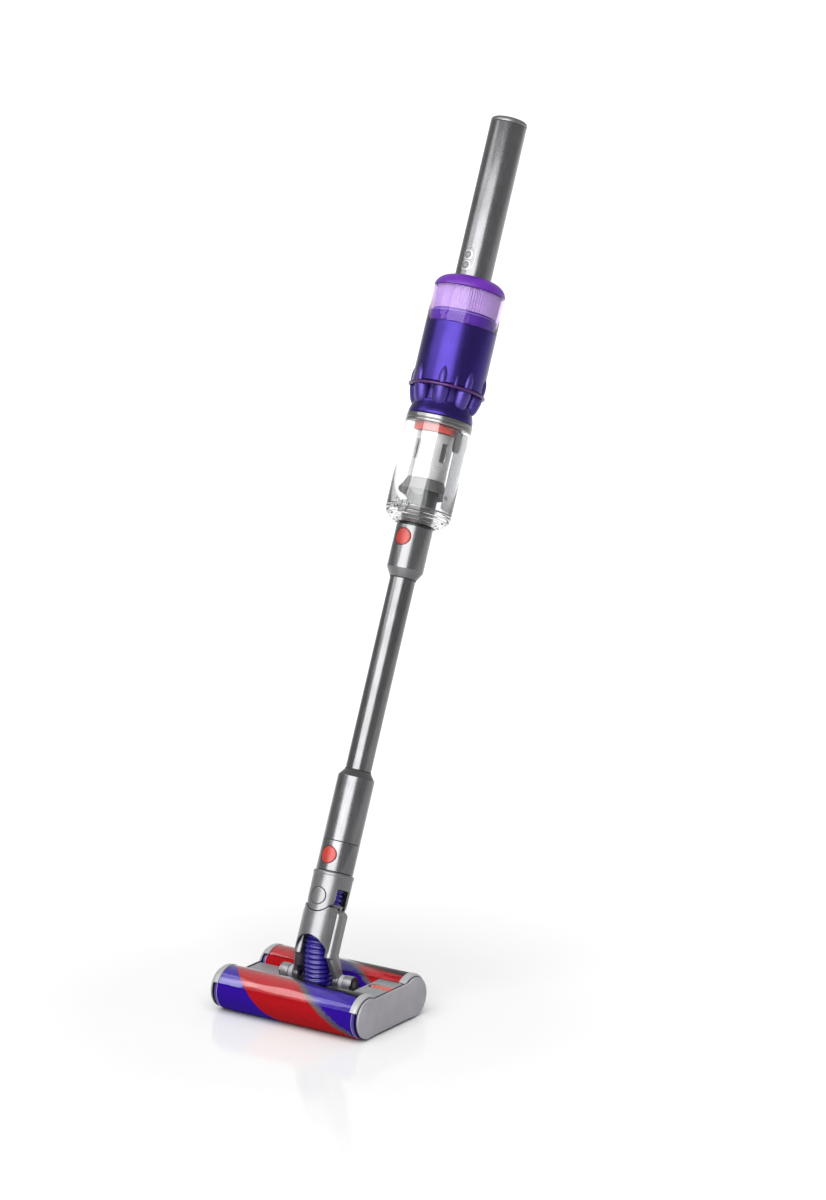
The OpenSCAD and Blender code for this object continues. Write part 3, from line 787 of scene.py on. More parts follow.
@dataclass
class Roller:
    """One striped roller with its strip of bristles."""

    side: Side
    strip: tuple[float, float]
    stops: tuple[tuple[float, Colour], ...]
    tuft: float = 0.45
    core_radius: float = 19.6
    around: int = 220
    along: int = 130
    strip_rise: float = 0.3
    trim_bore: float = 20.5

    def __post_init__(self) -> None:
        """Reads the roller's size from its packed nap."""
        self.label = self.side.name.lower()
        low, high = FLOOR.extent(f"{self.label}_roller_nap")
        self.axis = ((low.y + high.y) / 2, (low.z + high.z) / 2)
        self.radius = (high.z - low.z) / 2
        self.half = high.x

    def build(self) -> None:
        """Makes the nap and its bristles, and dresses the core."""
        body = f"{self.label}_roller"
        fabric = NapFabric(f"{self.label}_nap", self.axis, self.stops)
        FLOOR.piece(f"{self.label}_nap", self.nap(), fabric, body, "roller_nap",
                    f"{self.label}_roller_nap", crease=80)
        bristles = MouldedPlastic("bristle_grey", tone(46, 46, 52), 0.5, grain=0.8, brush=Brush.ACROSS)
        FLOOR.piece(f"{self.label}_bristles", self.bristles(fabric), bristles, body, "roller_nap")
        dress(ROLLER_END, f"{self.label}_roller_core")
        edge = rounded(wall(self.half + 0.05, self.half + 0.55, self.radius - 0.5, self.trim_bore), 0.15)
        trims = Shape.turned(edge, 96)
        trims.with_also(Shape.turned(edge, 96).moved(Matrix.Scale(-1, 4, (0, 0, 1))))
        trims.moved(about_roller(self.side, self.axis))
        FLOOR.piece(f"{self.label}_roller_trims", trims, TRIM, body, "roller_nap")

    def ring(self, x: float, radius: float, rough: float = 0.0) -> list[Vector]:
        """A ring of points about the roller's axis, with tufts as high as rough."""
        points = []
        for k in range(self.around):
            t = 2 * math.pi * k / self.around
            spot = Vector((x, math.cos(t) * self.radius, math.sin(t) * self.radius)) * 0.9
            r = radius - rough * (0.5 + 0.5 * noise.noise(spot))
            points.append(Vector((x, self.axis[0] - r * math.cos(t), self.axis[1] + r * math.sin(t))))
        return points

    def nap(self) -> Shape:
        """The pile, with its tufts, as a thick sleeve with soft ends."""
        soft = 1.2
        stops = [-self.half + 2 * self.half * k / self.along for k in range(1, self.along)]
        ends = [(0.0, soft), (0.3 * soft, 0.3 * soft), (soft, 0.0)]
        rings = [self.ring(-self.half + x, self.radius - drop) for x, drop in ends]
        rings += [self.ring(x, self.radius, self.tuft) for x in stops if abs(x) < self.half - soft - 0.4]
        rings += [self.ring(self.half - x, self.radius - drop) for x, drop in reversed(ends)]
        rings += [self.ring(self.half, self.core_radius), self.ring(-self.half, self.core_radius)]
        return Shape.loops(rings, closed=True)

    def bristles(self, fabric: NapFabric) -> Shape:
        """The helical strip of fine bristles that parts two stripes."""
        across, along = 14, 360
        rings = []
        for i in range(along + 1):
            x = (self.half - 1) * (2 * i / along - 1)
            lead = fabric.twist * x + fabric.easing * x * x
            first, last = (edge - lead for edge in self.strip)
            comb = self.strip_rise * (0.55 + 0.45 * math.cos(math.pi * i))
            base = self.radius - self.strip_rise
            loop = [(first + (last - first) * k / across, base + comb * math.sin(math.pi * (k + 0.5) / (across + 1)))
                    for k in range(across + 1)]
            loop += [(last, self.radius - 1.5), (first, self.radius - 1.5)]
            turned = [(math.radians(a), r) for a, r in loop]
            rings.append([
                Vector((x, self.axis[0] - r * math.cos(t), self.axis[1] + r * math.sin(t))) for t, r in turned
            ])
        return Shape.loops(rings)


def to_side(sign: int, y: float = 0.0, z: float = 0.0) -> Matrix:
    """Carries a shape from (Y, Z, X) onto one side of the head, with its outline's origin at y and z."""
    return Matrix(((0, 0, sign, 0), (1, 0, 0, y), (0, 1, 0, z), (0, 0, 0, 1)))


@dataclass
class FloorHead:
    """The head's covers, decks, end caps and catch, over its chassis."""

    window_wall: float = 1.2
    window_low: float = 27.0
    window_high: float = 130.0
    band_wall: float = 1.5
    cap_thickness: float = 3.1
    deck_thickness: float = 2.3
    deck_gap: float = 1.6
    catch_width: float = 11.0
    trunnion_radius: float = 9.0

    def __post_init__(self) -> None:
        """Reads the head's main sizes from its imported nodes."""
        self.front = FLOOR.extent("front_roller_nap")
        self.axle = (self.front[0].y + self.front[1].y) / 2
        self.axle_z = (self.front[0].z + self.front[1].z) / 2
        self.window = FLOOR.extent("front_window")
        self.cap = FLOOR.extent("right_end_cap")
        self.deck = self.deck_extent("right_deck")
        self.low_deck = self.deck_extent("left_deck")
        self.catch = FLOOR.extent("end_cap_catch")
        self.window_radius = self.window[1].z - self.axle_z
        self.cap_radius = (self.axle_z - self.cap[0].z)

    @staticmethod
    def deck_extent(node: str) -> tuple[Vector, Vector]:
        """A deck's lowest and highest corner, as if it lay on the right side."""
        low, high = FLOOR.extent(node)
        near, far = sorted((abs(low.x), abs(high.x)))
        return Vector((near, low.y, low.z)), Vector((far, high.y, high.z))

    def build(self) -> None:
        """Makes every piece of the head that shows, and dresses the rest."""
        dress(CHASSIS, "head_chassis")
        dress(SOLE, "soleplate")
        dress(SCREWS, "head_screws")
        dress(MOTOR, "roller_motors")
        for side in Side:
            name = f"{side.name.lower()}_window"
            FLOOR.piece(f"{name}_cover", self.cover(side), COVER_CLEAR, "head", "clear_plastic", name)
        sides = ((-1, "left", "head", self.low_deck), (1, "right", "right_cap", self.deck))
        for sign, label, body, deck in sides:
            cover = self.end_cap(sign, deck)
            FLOOR.piece(f"{label}_end_cover", cover, CAP, body, "cap_grey", f"{label}_end_cap")
            FLOOR.piece(f"{label}_cover_bands", self.bands(sign), BAND, body, "cap_grey")
            # The dark sheet behind each end plate is painted shadow along its seam.
            FLOOR.piece(f"{label}_cap_shadow", self.cap_shadow_sheet(sign, deck), GAP_AND_SHADOW, body, "cap_grey")
            plate = self.deck_plate(sign, deck)
            FLOOR.piece(f"{label}_deck_plate", plate, DECK, "head", "deck_grey", f"{label}_deck")
        FLOOR.piece("cap_catch", self.catch_slide(), CATCH_TINT, "cap_catch", "catch_red", "end_cap_catch")
        self.trunnions()

    def cover(self, side: Side) -> Shape:
        """One clear cover over a roller, with eased edges."""
        low, high = self.window[0].x, self.window[1].x
        r = self.window_radius
        outline = rounded(wall(low, high, r, r - self.window_wall), 0.4)
        made = Shape.turned(outline, 64, self.window_low, self.window_high - self.window_low)
        return made.moved(about_roller(side, (side.value * abs(self.axle), self.axle_z)))

    def bands(self, sign: int) -> Shape:
        """The two sleeves that carry an end cap over the ends of the covers."""
        start, end = self.window[1].x + 0.2, self.cap[1].x - self.cap_thickness
        top, low = self.window_radius + 0.3, self.cap_radius + 1.0
        curve = arc((0, 0), 1, 0, 90, 8)
        shoulder = end - 4.2
        outer = [(low + (top - low) * c, shoulder + (end - shoulder) * s) for c, s in curve]
        inner = [(r - self.band_wall, min(z, end - 1.0)) for r, z in reversed(outer)]
        outline = [(top, start), *outer, *inner, (top - self.band_wall, start)]
        made = Shape.turned(outline, 48, self.window_low, self.window_high - self.window_low)
        made.moved(about_roller(Side.FRONT, (self.axle, self.axle_z)))
        rear = Shape.turned(outline, 48, self.window_low, self.window_high - self.window_low)
        made.with_also(rear.moved(about_roller(Side.REAR, (-self.axle, self.axle_z))))
        return made.moved(Matrix.Diagonal((sign, 1, 1, 1)))

    def end_outline(self, dip: float) -> Outline:
        """The outline of an end cap, as (Y, Z): two round ends with a flat between them.

        Args:
            dip: Height of the flat.

        Returns:
            The closed outline.
        """
        r, y, z = self.cap_radius, abs(self.axle), self.axle_z
        meet = 180 - math.degrees(math.asin((dip - z) / r))
        right = arc((y, z), r, -82, meet, 40)
        left = [(-a, b) for a, b in reversed(right)]
        base = [(-y + 12, self.cap[0].z + 1.4), (y - 12, self.cap[0].z + 1.4)]
        return right + left + base

    def end_cap(self, sign: int, deck: tuple[Vector, Vector]) -> Shape:
        """One end plate, eased all round."""
        low, high = self.cap[1].x - self.cap_thickness, self.cap[1].x
        made = Shape.prism(self.end_outline(deck[1].z - 0.2), low, high).eased(0.6, 3)
        return made.moved(to_side(sign))

    def cap_shadow_sheet(self, sign: int, deck: tuple[Vector, Vector]) -> Shape:
        """A dark sheet behind an end plate's edge: partly the seam, partly painted shadow of the plate's inner side.
        """
        middle = self.cap[1].x - self.cap_thickness
        plate = self.end_outline(deck[1].z - 0.2)
        outline = [(y * 1.003, z + 0.25 * (1 if z > self.axle_z else -1)) for y, z in plate]
        made = Shape.prism(outline, middle - 0.3, middle + 0.8)
        return made.moved(to_side(sign))

    def deck_plate(self, sign: int, deck: tuple[Vector, Vector]) -> Shape:
        """One deck between the rollers, with the catch's slot in the right one."""
        low, high = deck[0].x, deck[1].x - self.deck_gap
        top, r = deck[1].z, self.window_radius + 0.5
        rise_top, rise_low = top - self.axle_z, top - self.deck_thickness - self.axle_z
        first = math.degrees(math.asin(rise_top / r))
        last = math.degrees(math.asin(rise_low / r))
        side = arc((self.axle, self.axle_z), r, first, last, 4)
        outline = [(-y, z) for y, z in reversed(side)] + side
        made = Shape.prism(outline, low, high).eased(0.5, 2)
        made.moved(to_side(sign))
        if sign > 0:
            made.cut(self.slot_tool())
        return made

    def slot_outline(self, gap: float, travel: float) -> Outline:
        """The catch's outline, grown by a gap, and by its travel at the inner end."""
        half = self.catch_width / 2 + gap
        y = (self.catch[0].y + self.catch[1].y) / 2
        inner = self.catch[0].x - travel - gap + half
        end = self.catch[1].x + travel + gap
        return [(end, y + half)] + arc((inner, y), half, 90, 270, 24) + [(end, y - half)]

    def slot_tool(self) -> Shape:
        """The slot that the catch slides in."""
        return Shape.prism(self.slot_outline(0.5, 3.0), self.deck[1].z - 8, self.deck[1].z + 8)

    def catch_slide(self) -> Shape:
        """The translucent catch with a thumb step at its outer end."""
        low, high = self.catch[0].z, self.catch[1].z
        end = self.catch[1].x
        y = (self.catch[0].y + self.catch[1].y) / 2
        made = Shape.prism(self.slot_outline(0, 0), low, high)
        beyond = [(end - 0.01, y - 20), (end + 9, y - 20), (end + 9, y + 20), (end - 0.01, y + 20)]
        made.cut(Shape.prism(beyond, low - 5, high + 5))
        made.eased(0.4, 2, 50)
        dimple = Shape.turned([(0, high - 0.9), (2.0, high - 0.7), (2.6, high + 1), (0, high + 1)], 32)
        return made.cut(dimple.shifted(self.catch[0].x + 6, y, 0))

    def trunnions(self) -> None:
        """The bushes of the hinge, ringed and polished, on both sides."""
        centre = Vector(joint("neck_pitch")["pos_m"]) / MM
        boss, r = FLOOR.extent("hinge_pins")[1].x, self.trunnion_radius
        rings = Shape.turned(rounded(wall(boss - 1.0, boss + 0.1, r + 0.12, r - 1.3), 0.3), 64)
        disc = [(0, boss - 2), (r - 1.4, boss - 2), (r - 1.4, boss - 0.3), (0, boss - 0.3)]
        cap = Shape.turned(rounded(disc, 0.3), 64)
        bush = Shape.turned(rounded(wall(32.4, 38.2, r - 0.5, 3.6), 0.5), 64)
        barrel = Shape.turned(rounded(wall(38.4, boss - 1.1, r + 0.1, r - 1.5), 0.5), 64)
        pin = Shape.turned([(0, 25), (3.9, 25), (3.9, boss - 0.5), (0, boss - 0.5)], 48)
        for sign, label in ((-1, "left"), (1, "right")):
            place = to_side(sign, centre.y, centre.z)
            for name, shape, finish in (("ring", rings, STEEL), ("bush", bush, BUSH_LIGHT),
                                        ("cap", cap, BARREL), ("pin", pin, STEEL), ("barrel", barrel, BARREL)):
                copy = Shape([], [])
                copy.with_also(shape)
                nodes = ("hinge_pins",) if name == "bush" else ()
                FLOOR.piece(f"{label}_hinge_{name}", copy.moved(place), finish, "head", "pin_steel", *nodes)


@dataclass
class Castors:
    """The four swivelling castors under the head."""

    count: int = 4

    def build(self) -> None:
        """Dresses the forks and the wheels."""
        for k in range(1, self.count + 1):
            dress(CASTOR, f"castor_fork_{k}")
            dress(TYRE, f"castor_wheel_{k}")


# ---- neck ----


@dataclass
class Hose:
    """The corrugated suction hose, which bends at both pivots."""

    wand: Bench
    pitch: float = 5.4
    depth: float = 2.0
    wall: float = 1.4
    around: int = 72
    bottom: float = 20.0
    corner: float = 42.0
    top: float = 103.0

    def centre(self, way: float) -> tuple[Vector, Vector]:
        """A point of the hose's own line, and its direction, in world millimetres.

        Args:
            way: Distance along the line, from the floor up.

        Returns:
            The point and the direction.
        """
        up = self.wand.place.to_3x3() @ Vector((0, 0, 1))
        foot = self.wand.place.translation / MM
        knee = foot + up * self.corner
        knee.y = 0.0
        ease = 26.0
        low, high = knee - Vector((0, 0, ease)), knee + up * ease
        rise = low.z - self.bottom
        bow = ease * 1.9
        if way < rise:
            return Vector((0, 0, self.bottom + way)), Vector((0, 0, 1))
        t = (way - rise) / bow
        if t < 1:
            point = low * (1 - t) ** 2 + knee * 2 * t * (1 - t) + high * t * t
            return point, (knee - low).lerp(high - knee, t).normalized()
        return high + up * (way - rise - bow), up

    def tube(self, first: float, last: float) -> Shape:
        """A stretch of the hose between two distances along its line."""
        steps = int((last - first) / self.pitch * 10)
        outer, inner = [], []
        radius = FLOOR.extent("lower_hose")[1].x
        for k in range(steps + 1):
            way = first + (last - first) * k / steps
            point, ahead = self.centre(way)
            wave = 0.5 + 0.5 * math.cos(2 * math.pi * way / self.pitch)
            r = radius - self.depth * (1 - wave ** 0.6)
            side = Vector((1, 0, 0))
            over = ahead.cross(side).normalized()
            turns = [2 * math.pi * j / self.around for j in range(self.around)]
            outer.append([point + (side * math.cos(t) + over * math.sin(t)) * r for t in turns])
            inner.append([point + (side * math.cos(t) + over * math.sin(t)) * (r - self.wall) for t in turns])
        return Shape.loops(outer + inner[::-1], closed=True)

    def build(self) -> None:
        """Makes the lower stretch, over the pitch hinge, and the upper one, over the swing."""
        end = FLOOR.extent("upper_hose")[1].z
        length = 0.0
        while self.centre(length)[0].z < end - 8:
            length += 0.5
        middle = 62.0
        lower = FLOOR.piece("lower_hose_bellows", self.tube(0, middle + 1), HOSE, None, "hose_blue",
                            "lower_hose", crease=60)
        self.centre(middle)[0] * MM
        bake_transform(lower)
        upper = FLOOR.piece("upper_hose_bellows", self.tube(middle - 1, length), HOSE, None, "hose_blue",
                            "upper_hose", crease=60)
        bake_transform(upper)


@dataclass
class Neck:
    """The fork on the pitch hinge and the neck that swings in it."""

    wand: Bench
    skin_grain: float = 0.55
    clearance: float = 0.12
    disc_radius: float = 10.0

    def build(self) -> None:
        """Makes the fork, its front shell, the neck tube and the swing discs."""
        wand = self.wand
        skins = (("fork_casting", "fork_yoke", "fork", self.skin_grain, 5, self.clearance),
                 ("fork_shell", "fork_front_shell", "fork", 0.5, 4, 0.0),
                 ("neck_barrel", "neck_tube", "neck", 0.5, 3, self.clearance))
        for name, node, body, grain, smoothing, gap in skins:
            skin = wand.skin(node, grain, smoothing).shrunk(gap)
            wand.piece(name, skin, NECK, body, "neck_metal", node, crease=60)
        pivot = (joint_station(wand, "neck_swing"))
        surface = wand.extent("neck_tube")[1].x - 0.5
        for turn, label in ((0, "front"), (180, "rear")):
            disc = Shape.pad(circle(self.disc_radius - 0.35), surface, 0.25, 3.0, 0.35)
            wand.piece(f"{label}_swing_disc", disc.shifted(z=pivot).spun(turn), NECK, "neck", "neck_metal",
                       *(("swing_pins",) if turn == 0 else ()))
            gap = Shape.pad(circle(self.disc_radius + 0.35), surface, 0.12, 1.5, 0.05, hole=0.93)
            wand.piece(f"{label}_disc_gap", gap.shifted(z=pivot).spun(turn), GAP_AND_SHADOW, "neck", "neck_metal")
        dress(INNER, "head_spigot")


def joint_station(wand: Bench, name: str) -> float:
    """The station of a joint's pivot along the wand."""
    return (wand.place.inverted() @ Vector(joint(name)["pos_m"]) / MM).z


# ---- wand ----


@dataclass
class Wand:
    """The tube, its collars and the two red release buttons."""

    wand: Bench
    ease: float = 0.6
    button_gap: float = 0.3

    def build(self) -> None:
        """Makes the collars, the tube and the buttons."""
        wand = self.wand
        low, high = wand.extent("lower_coupling")
        radius = high.x
        station, size = self.button("head_release_button")
        ring = wall(low.z, high.z, radius, radius - 3.1)
        coupling = Shape.turned(rounded(ring, self.ease), 128).cut(self.hole(station, size))
        wand.piece("lower_coupling_ring", coupling, WAND_METAL, "wand", "neck_metal", "lower_coupling")
        self.press_button("head", station, size, radius)
        low, high = wand.extent("lower_collar")
        tube_low, tube_high = wand.extent("wand_tube")
        bore, tube = 18.6, tube_high.x
        start = wand.extent("lower_coupling")[1].z + 0.4
        collar = [(tube, low.z), (bore, low.z), (bore, start), (radius - 0.2, start), (radius, start + 0.4),
                  (radius, high.z - 8), (tube + 0.6, high.z), (tube, high.z)]
        wand.piece("lower_collar_sleeve", Shape.turned(rounded(collar, self.ease), 128), WAND_METAL, "wand",
                   "wand_metal", "lower_collar")
        low, high = wand.extent("upper_collar")
        station, size = self.button("wand_release_button")
        collar = [(tube, low.z), (tube + 0.6, low.z), (radius, low.z + 10), (radius, high.z), (bore, high.z),
                  (bore, tube_high.z + 1), (tube, tube_high.z + 1)]
        sleeve = Shape.turned(rounded(collar, self.ease), 128).cut(self.hole(station, size))
        wand.piece("upper_collar_sleeve", sleeve, WAND_METAL, "wand", "wand_metal", "upper_collar")
        self.press_button("wand", station, size, radius)
        bare = Shape.turned(rounded(wall(tube_low.z, tube_high.z, tube, tube - 1.05), 0.3), 96)
        wand.piece("wand_tube_bare", bare, TUBE_METAL, "wand", "wand_metal", "wand_tube")
        for label, place in (("lower", self.wand.extent("lower_collar")[1].z),
                             ("upper", self.wand.extent("upper_collar")[0].z - 1.2)):
            seal = Shape.turned(rounded(wall(place, place + 1.2, tube + 0.5, tube - 0.2), 0.4), 96)
            wand.piece(f"{label}_tube_seal", seal, GAP_AND_SHADOW, "wand", "wand_metal")

    def button(self, node: str) -> tuple[float, float]:
        """The station and the radius of a release button."""
        low, high = self.wand.extent(node)
        return (low.z + high.z) / 2, (high.z - low.z) / 2

    def hole(self, station: float, size: float) -> Shape:
        """The hole for a release button."""
        return front_bar(size + self.button_gap, station, 5, 40)

    def press_button(self, label: str, station: float, size: float, radius: float) -> None:
        """Makes one red button and the dark gap around it."""
        cap = Shape.pad(circle(size - 0.25, 64), radius, 0.15, 2.6, 0.5, crown=0.35)
        self.wand.piece(f"{label}_release_cap", cap.shifted(z=station), BUTTON_RED, f"{label}_button",
                        "catch_red", f"{label}_release_button")
        gap = Shape.pad(circle(size + 0.5, 64), radius, 0.1, 2.0, 0.05, hole=0.945)
        self.wand.piece(f"{label}_button_gap", gap.shifted(z=station), GAP_AND_SHADOW, "wand", "neck_metal")


# ---- hand unit ----


@dataclass
class DustBin:
    """The clear bin with its base, latch and rails, and the shroud inside it."""

    wand: Bench
    wall: float = 1.6
    slots: int = 4
    stop_turn: float = 80.0
    rails: tuple[float, ...] = (92.0,)
    first_slot: float = 69.0

    def build(self) -> None:
        """Makes the bin and what it holds."""
        wand = self.wand
        low, high = wand.extent("clear_bin")
        self.radius = high.x
        r = self.radius
        shell = Shape.turned(rounded(wall(low.z, high.z, r, r - self.wall), 0.5), 128)
        wand.piece("bin_wall", shell, BIN_CLEAR, "bin", "clear_plastic", "clear_bin")
        self.rim(high.z)
        self.base(low.z)
        self.latch()
        self.inside(low.z, high.z)
        dress(INNER, "inlet_tube")

    def rim(self, start: float) -> None:
        """The silver rim with its grooves."""
        _, high = self.wand.extent("bin_rim_ring")
        r, top = self.radius, high.z
        outline = [(36.2, start), (r, start), (r + 0.5, start + 1.2), (r + 0.5, start + 3.4),
                   (r - 0.3, start + 3.8), (r - 0.3, start + 4.6), (r + 0.4, start + 5.0), (r + 0.2, top - 0.8),
                   (r - 0.7, top), (36.2, top)]
        self.wand.piece("bin_rim", Shape.turned(rounded(outline, 0.35), 128), SILVER, "bin", "rim_silver",
                        "bin_rim_ring")

    def base(self, top: float) -> None:
        """The ridged clear base, stepped down to the inlet."""
        low, _ = self.wand.extent("bin_base")
        r = self.radius
        steps = [(r - 0.4, 547), (r - 1.6, 546.3), (r - 0.9, 545.2), (r - 1.2, 543), (r - 2.6, 542.4),
                 (r - 2.2, 541), (r - 3.6, 538.6), (r - 5.4, 538), (r - 5.6, 536.6), (r - 9, 535),
                 (r - 12, low.z + 0.2)]
        outline = [(r, top), (r, top - 4), *steps, (25, low.z), (19.3, low.z), (19.3, low.z + 2.5),
                   (24, low.z + 2.5), (r - 3.4, top - 2.5), (r - 1.6, top)]
        self.wand.piece("bin_base_door", Shape.turned(rounded(outline, 0.5), 128), BIN_CLEAR, "bin",
                        "clear_plastic", "bin_base")
        foot = Shape.turned(rounded(wall(low.z - 0.1, low.z + 3.4, 24.2, 19.4), 0.8), 96)
        self.wand.piece("bin_base_seal", foot, INNER, "bin", "inner_black")
        bright = Shape.turned(rounded(wall(top - 1.2, top + 0.8, r - 1.8, r - 3.4), 0.4), 128)
        self.wand.piece("bin_door_ring", bright, SILVER, "bin", "rim_silver")

    def latch(self) -> None:
        """The clear latch at the front of the base, over its dark hook."""
        low, high = self.wand.extent("bin_latch")
        middle = (low.z + high.z) / 2
        height = high.z - low.z
        block = Shape.pad(capsule(height / 2, 10.5), self.radius, 3.8, 0.3, 1.6, crown=0.3)
        self.wand.piece("bin_latch_lever", block.shifted(z=middle), BIN_CLEAR, "bin", "clear_plastic",
                        "bin_latch")
        hook = Shape.pad(capsule(height / 2 - 3.5, 6.2), self.radius - 3.5, 0.6, 2.4, 0.6, crown=0.4)
        self.wand.piece("bin_latch_hook", hook.shifted(z=middle - 1), INNER, "bin", "inner_black")
        for k, side in enumerate((-1, 1)):
            ear = Shape.pad(capsule(6, 1.6), self.radius - 3.0, 0.6, 2.0, 0.4)
            ear.shifted(z=middle + 1).spun(side * 12)
            self.wand.piece(f"bin_latch_spring_{k + 1}", ear, SILVER, "bin", "rim_silver")

    def inside(self, low: float, high: float) -> None:
        """The shroud, its skirt, the red ring, the stop and the rails, drawn as wide grey bands on the bin's inner
        wall that are partly rail and partly a painted reflection of the dark surroundings.
        """
        wand = self.wand
        first, last = wand.extent("shroud")
        outer = wand.extent("shroud")[1].x - 0.4
        sleeve = [(outer - 1.9, first.z), (outer + 0.4, first.z), (outer + 0.4, 600), (outer, 600.4),
                  (outer, 603), (outer - 0.35, 603.3), (outer - 0.35, 604.2), (outer, 604.5), (outer, last.z),
                  (outer - 1.9, last.z)]
        shroud = Shape.turned(rounded(sleeve, 0.2), 128)
        tools = []
        for k in range(self.slots):
            slot = Shape.prism([(-4, -11), (4, -11), (4, 11), (-4, 11)], 15, 30).eased(0.6, 2)
            place = Matrix.Translation((0, 0, 620)) @ Matrix.Rotation(math.radians(90), 4, "X")
            tools.append(slot.moved(place).spun(self.first_slot + k * 360 / self.slots))
        joined = tools[0].with_also(*tools[1:])
        wand.piece("shroud_sleeve", shroud.cut(joined), SHROUD, "hand_unit", "shroud_grey", "shroud")
        mesh = Shape.turned(rounded(wall(604, 637, outer - 2.0, outer - 2.5), 0.1), 96)
        wand.piece("shroud_mesh", mesh, SKIRT, "hand_unit", "shroud_grey")
        _, flare = wand.extent("shroud_skirt")
        skirt = [(19.2, 584.5), (19.2, 588), (22.7, 588), (26.2, 581), (flare.x, 574.6),
                 (flare.x - 0.7, 573.6), (25, 580), (22, 584.5)]
        wand.piece("shroud_skirt_cone", Shape.turned(rounded(skirt, 0.4), 128), SKIRT, "hand_unit",
                   "shroud_grey", "shroud_skirt")
        _, ring = wand.extent("red_ring")
        band = Shape.turned(rounded(wall(ring.z - 8, ring.z, ring.x, 20.2), 0.6), 128)
        wand.piece("red_seal_ring", band, RING_RED, "hand_unit", "catch_red", "red_ring")
        block = [(-5, 12), (-5, -6), (-3.4, -12.5), (3.4, -12.5), (5, -6), (5, 12)]
        stop = Shape.pad(block, 36.6, 0, 3.2, 0.5)
        wand.piece("bin_stop_block", stop.shifted(z=636).spun(self.stop_turn), GAP_AND_SHADOW, "bin", "inner_black",
                   "bin_stop")
        # Each band is a rail widened and tinted grey: painted reflection of the dark surroundings in the bin's inner
        # wall.
        strip = rounded([(-12, 46), (-12, -46), (12, -46), (12, 46)], 2)
        for k, turn in enumerate(self.rails):
            rail = Shape.pad(strip, self.radius - self.wall, 0.0, 0.8, 0.3)
            wand.piece(f"bin_rail_{k + 1}", rail.shifted(z=(low + high) / 2).spun(turn), RAIL_PAINTED_REFLECTION, "bin",
                       "clear_plastic")


@dataclass
class Cyclones:
    """The ring of cyclones between the bin and the motor housing."""

    wand: Bench
    count: int = 8
    tilt: float = 10.0
    stand_off: float = 1.8

    def build(self) -> None:
        """Makes the collar, the pods and the ring around them."""
        wand = self.wand
        low, high = wand.extent("cyclone_collar")
        lip = wand.extent("bin_rim_ring")[1].z + 0.2
        radius = 38.4
        collar = [(20, low.z), (35.9, low.z), (35.9, lip), (radius, lip), (radius + 0.1, lip + 2.5),
                  (radius - 0.6, lip + 6), (36.4, lip + 10.5), (35.2, high.z - 3), (35.0, high.z),
                  (14, high.z), (14, 666), (20, 666)]
        wand.piece("cyclone_waist", Shape.turned(rounded(collar, 1.0), 128), BODY_VIOLET, "hand_unit",
                   "body_violet", "cyclone_collar")
        pod = [(0, 672.6), (4.6, 673.2), (7.2, 675.6), (8.7, 679.5), (9.5, 685), (10.0, 690), (10.0, 694),
               (9.3, 697.4), (7.4, 698.8), (0, 698.8)]
        tip = [(0, 0), (6.0, 0), (6.0, 3), (5.6, 7), (4.8, 11), (3.4, 15), (1.5, 18.6), (0, 19.5)]
        band = wall(high.z + 0.1, wand.extent("motor_housing")[0].z - 0.2, 32, 24)
        pods = Shape.turned(rounded(band, 0.3), 96)
        lean = Matrix.Rotation(math.radians(self.tilt), 4, "Y")
        for k in range(self.count):
            turn = (k + 0.5) * 360 / self.count
            base = Matrix.Translation((30.3, 0, 673.5)) @ lean @ Matrix.Translation((0, 0, -673.5))
            pods.with_also(Shape.turned(pod, 48).moved(base).spun(turn))
            point = Matrix.Translation((38.2, 0, 699.4)) @ lean
            pods.with_also(Shape.turned(tip, 40).moved(point).spun(turn))
        wand.piece("cyclone_pods", pods, POD_VIOLET, "hand_unit", "cyclone_violet", "cyclone_cones",
                   crease=50)
        _, ring = wand.extent("pod_ring")
        middle, thick = ring.z - 1.3, 1.75
        outer = ring.x + self.stand_off - thick
        hoop = [(outer + thick * math.cos(t), middle + thick * math.sin(t))
                for t in (2 * math.pi * k / 20 for k in range(20))]
        wand.piece("pod_hoop", Shape.turned(hoop, 160), RING_PLUM, "hand_unit", "ring_magenta", "pod_ring")
        fin = [(0, 0), (2.2, 0), (2.0, 6), (1.3, 11), (0.4, 14.5), (0, 15)]
        rib = Shape.turned(fin, 32).moved(Matrix.Translation((0, -42.6, 696.5))).spun(45)
        wand.piece("pod_rib", rib, POD_VIOLET, "hand_unit", "cyclone_violet")


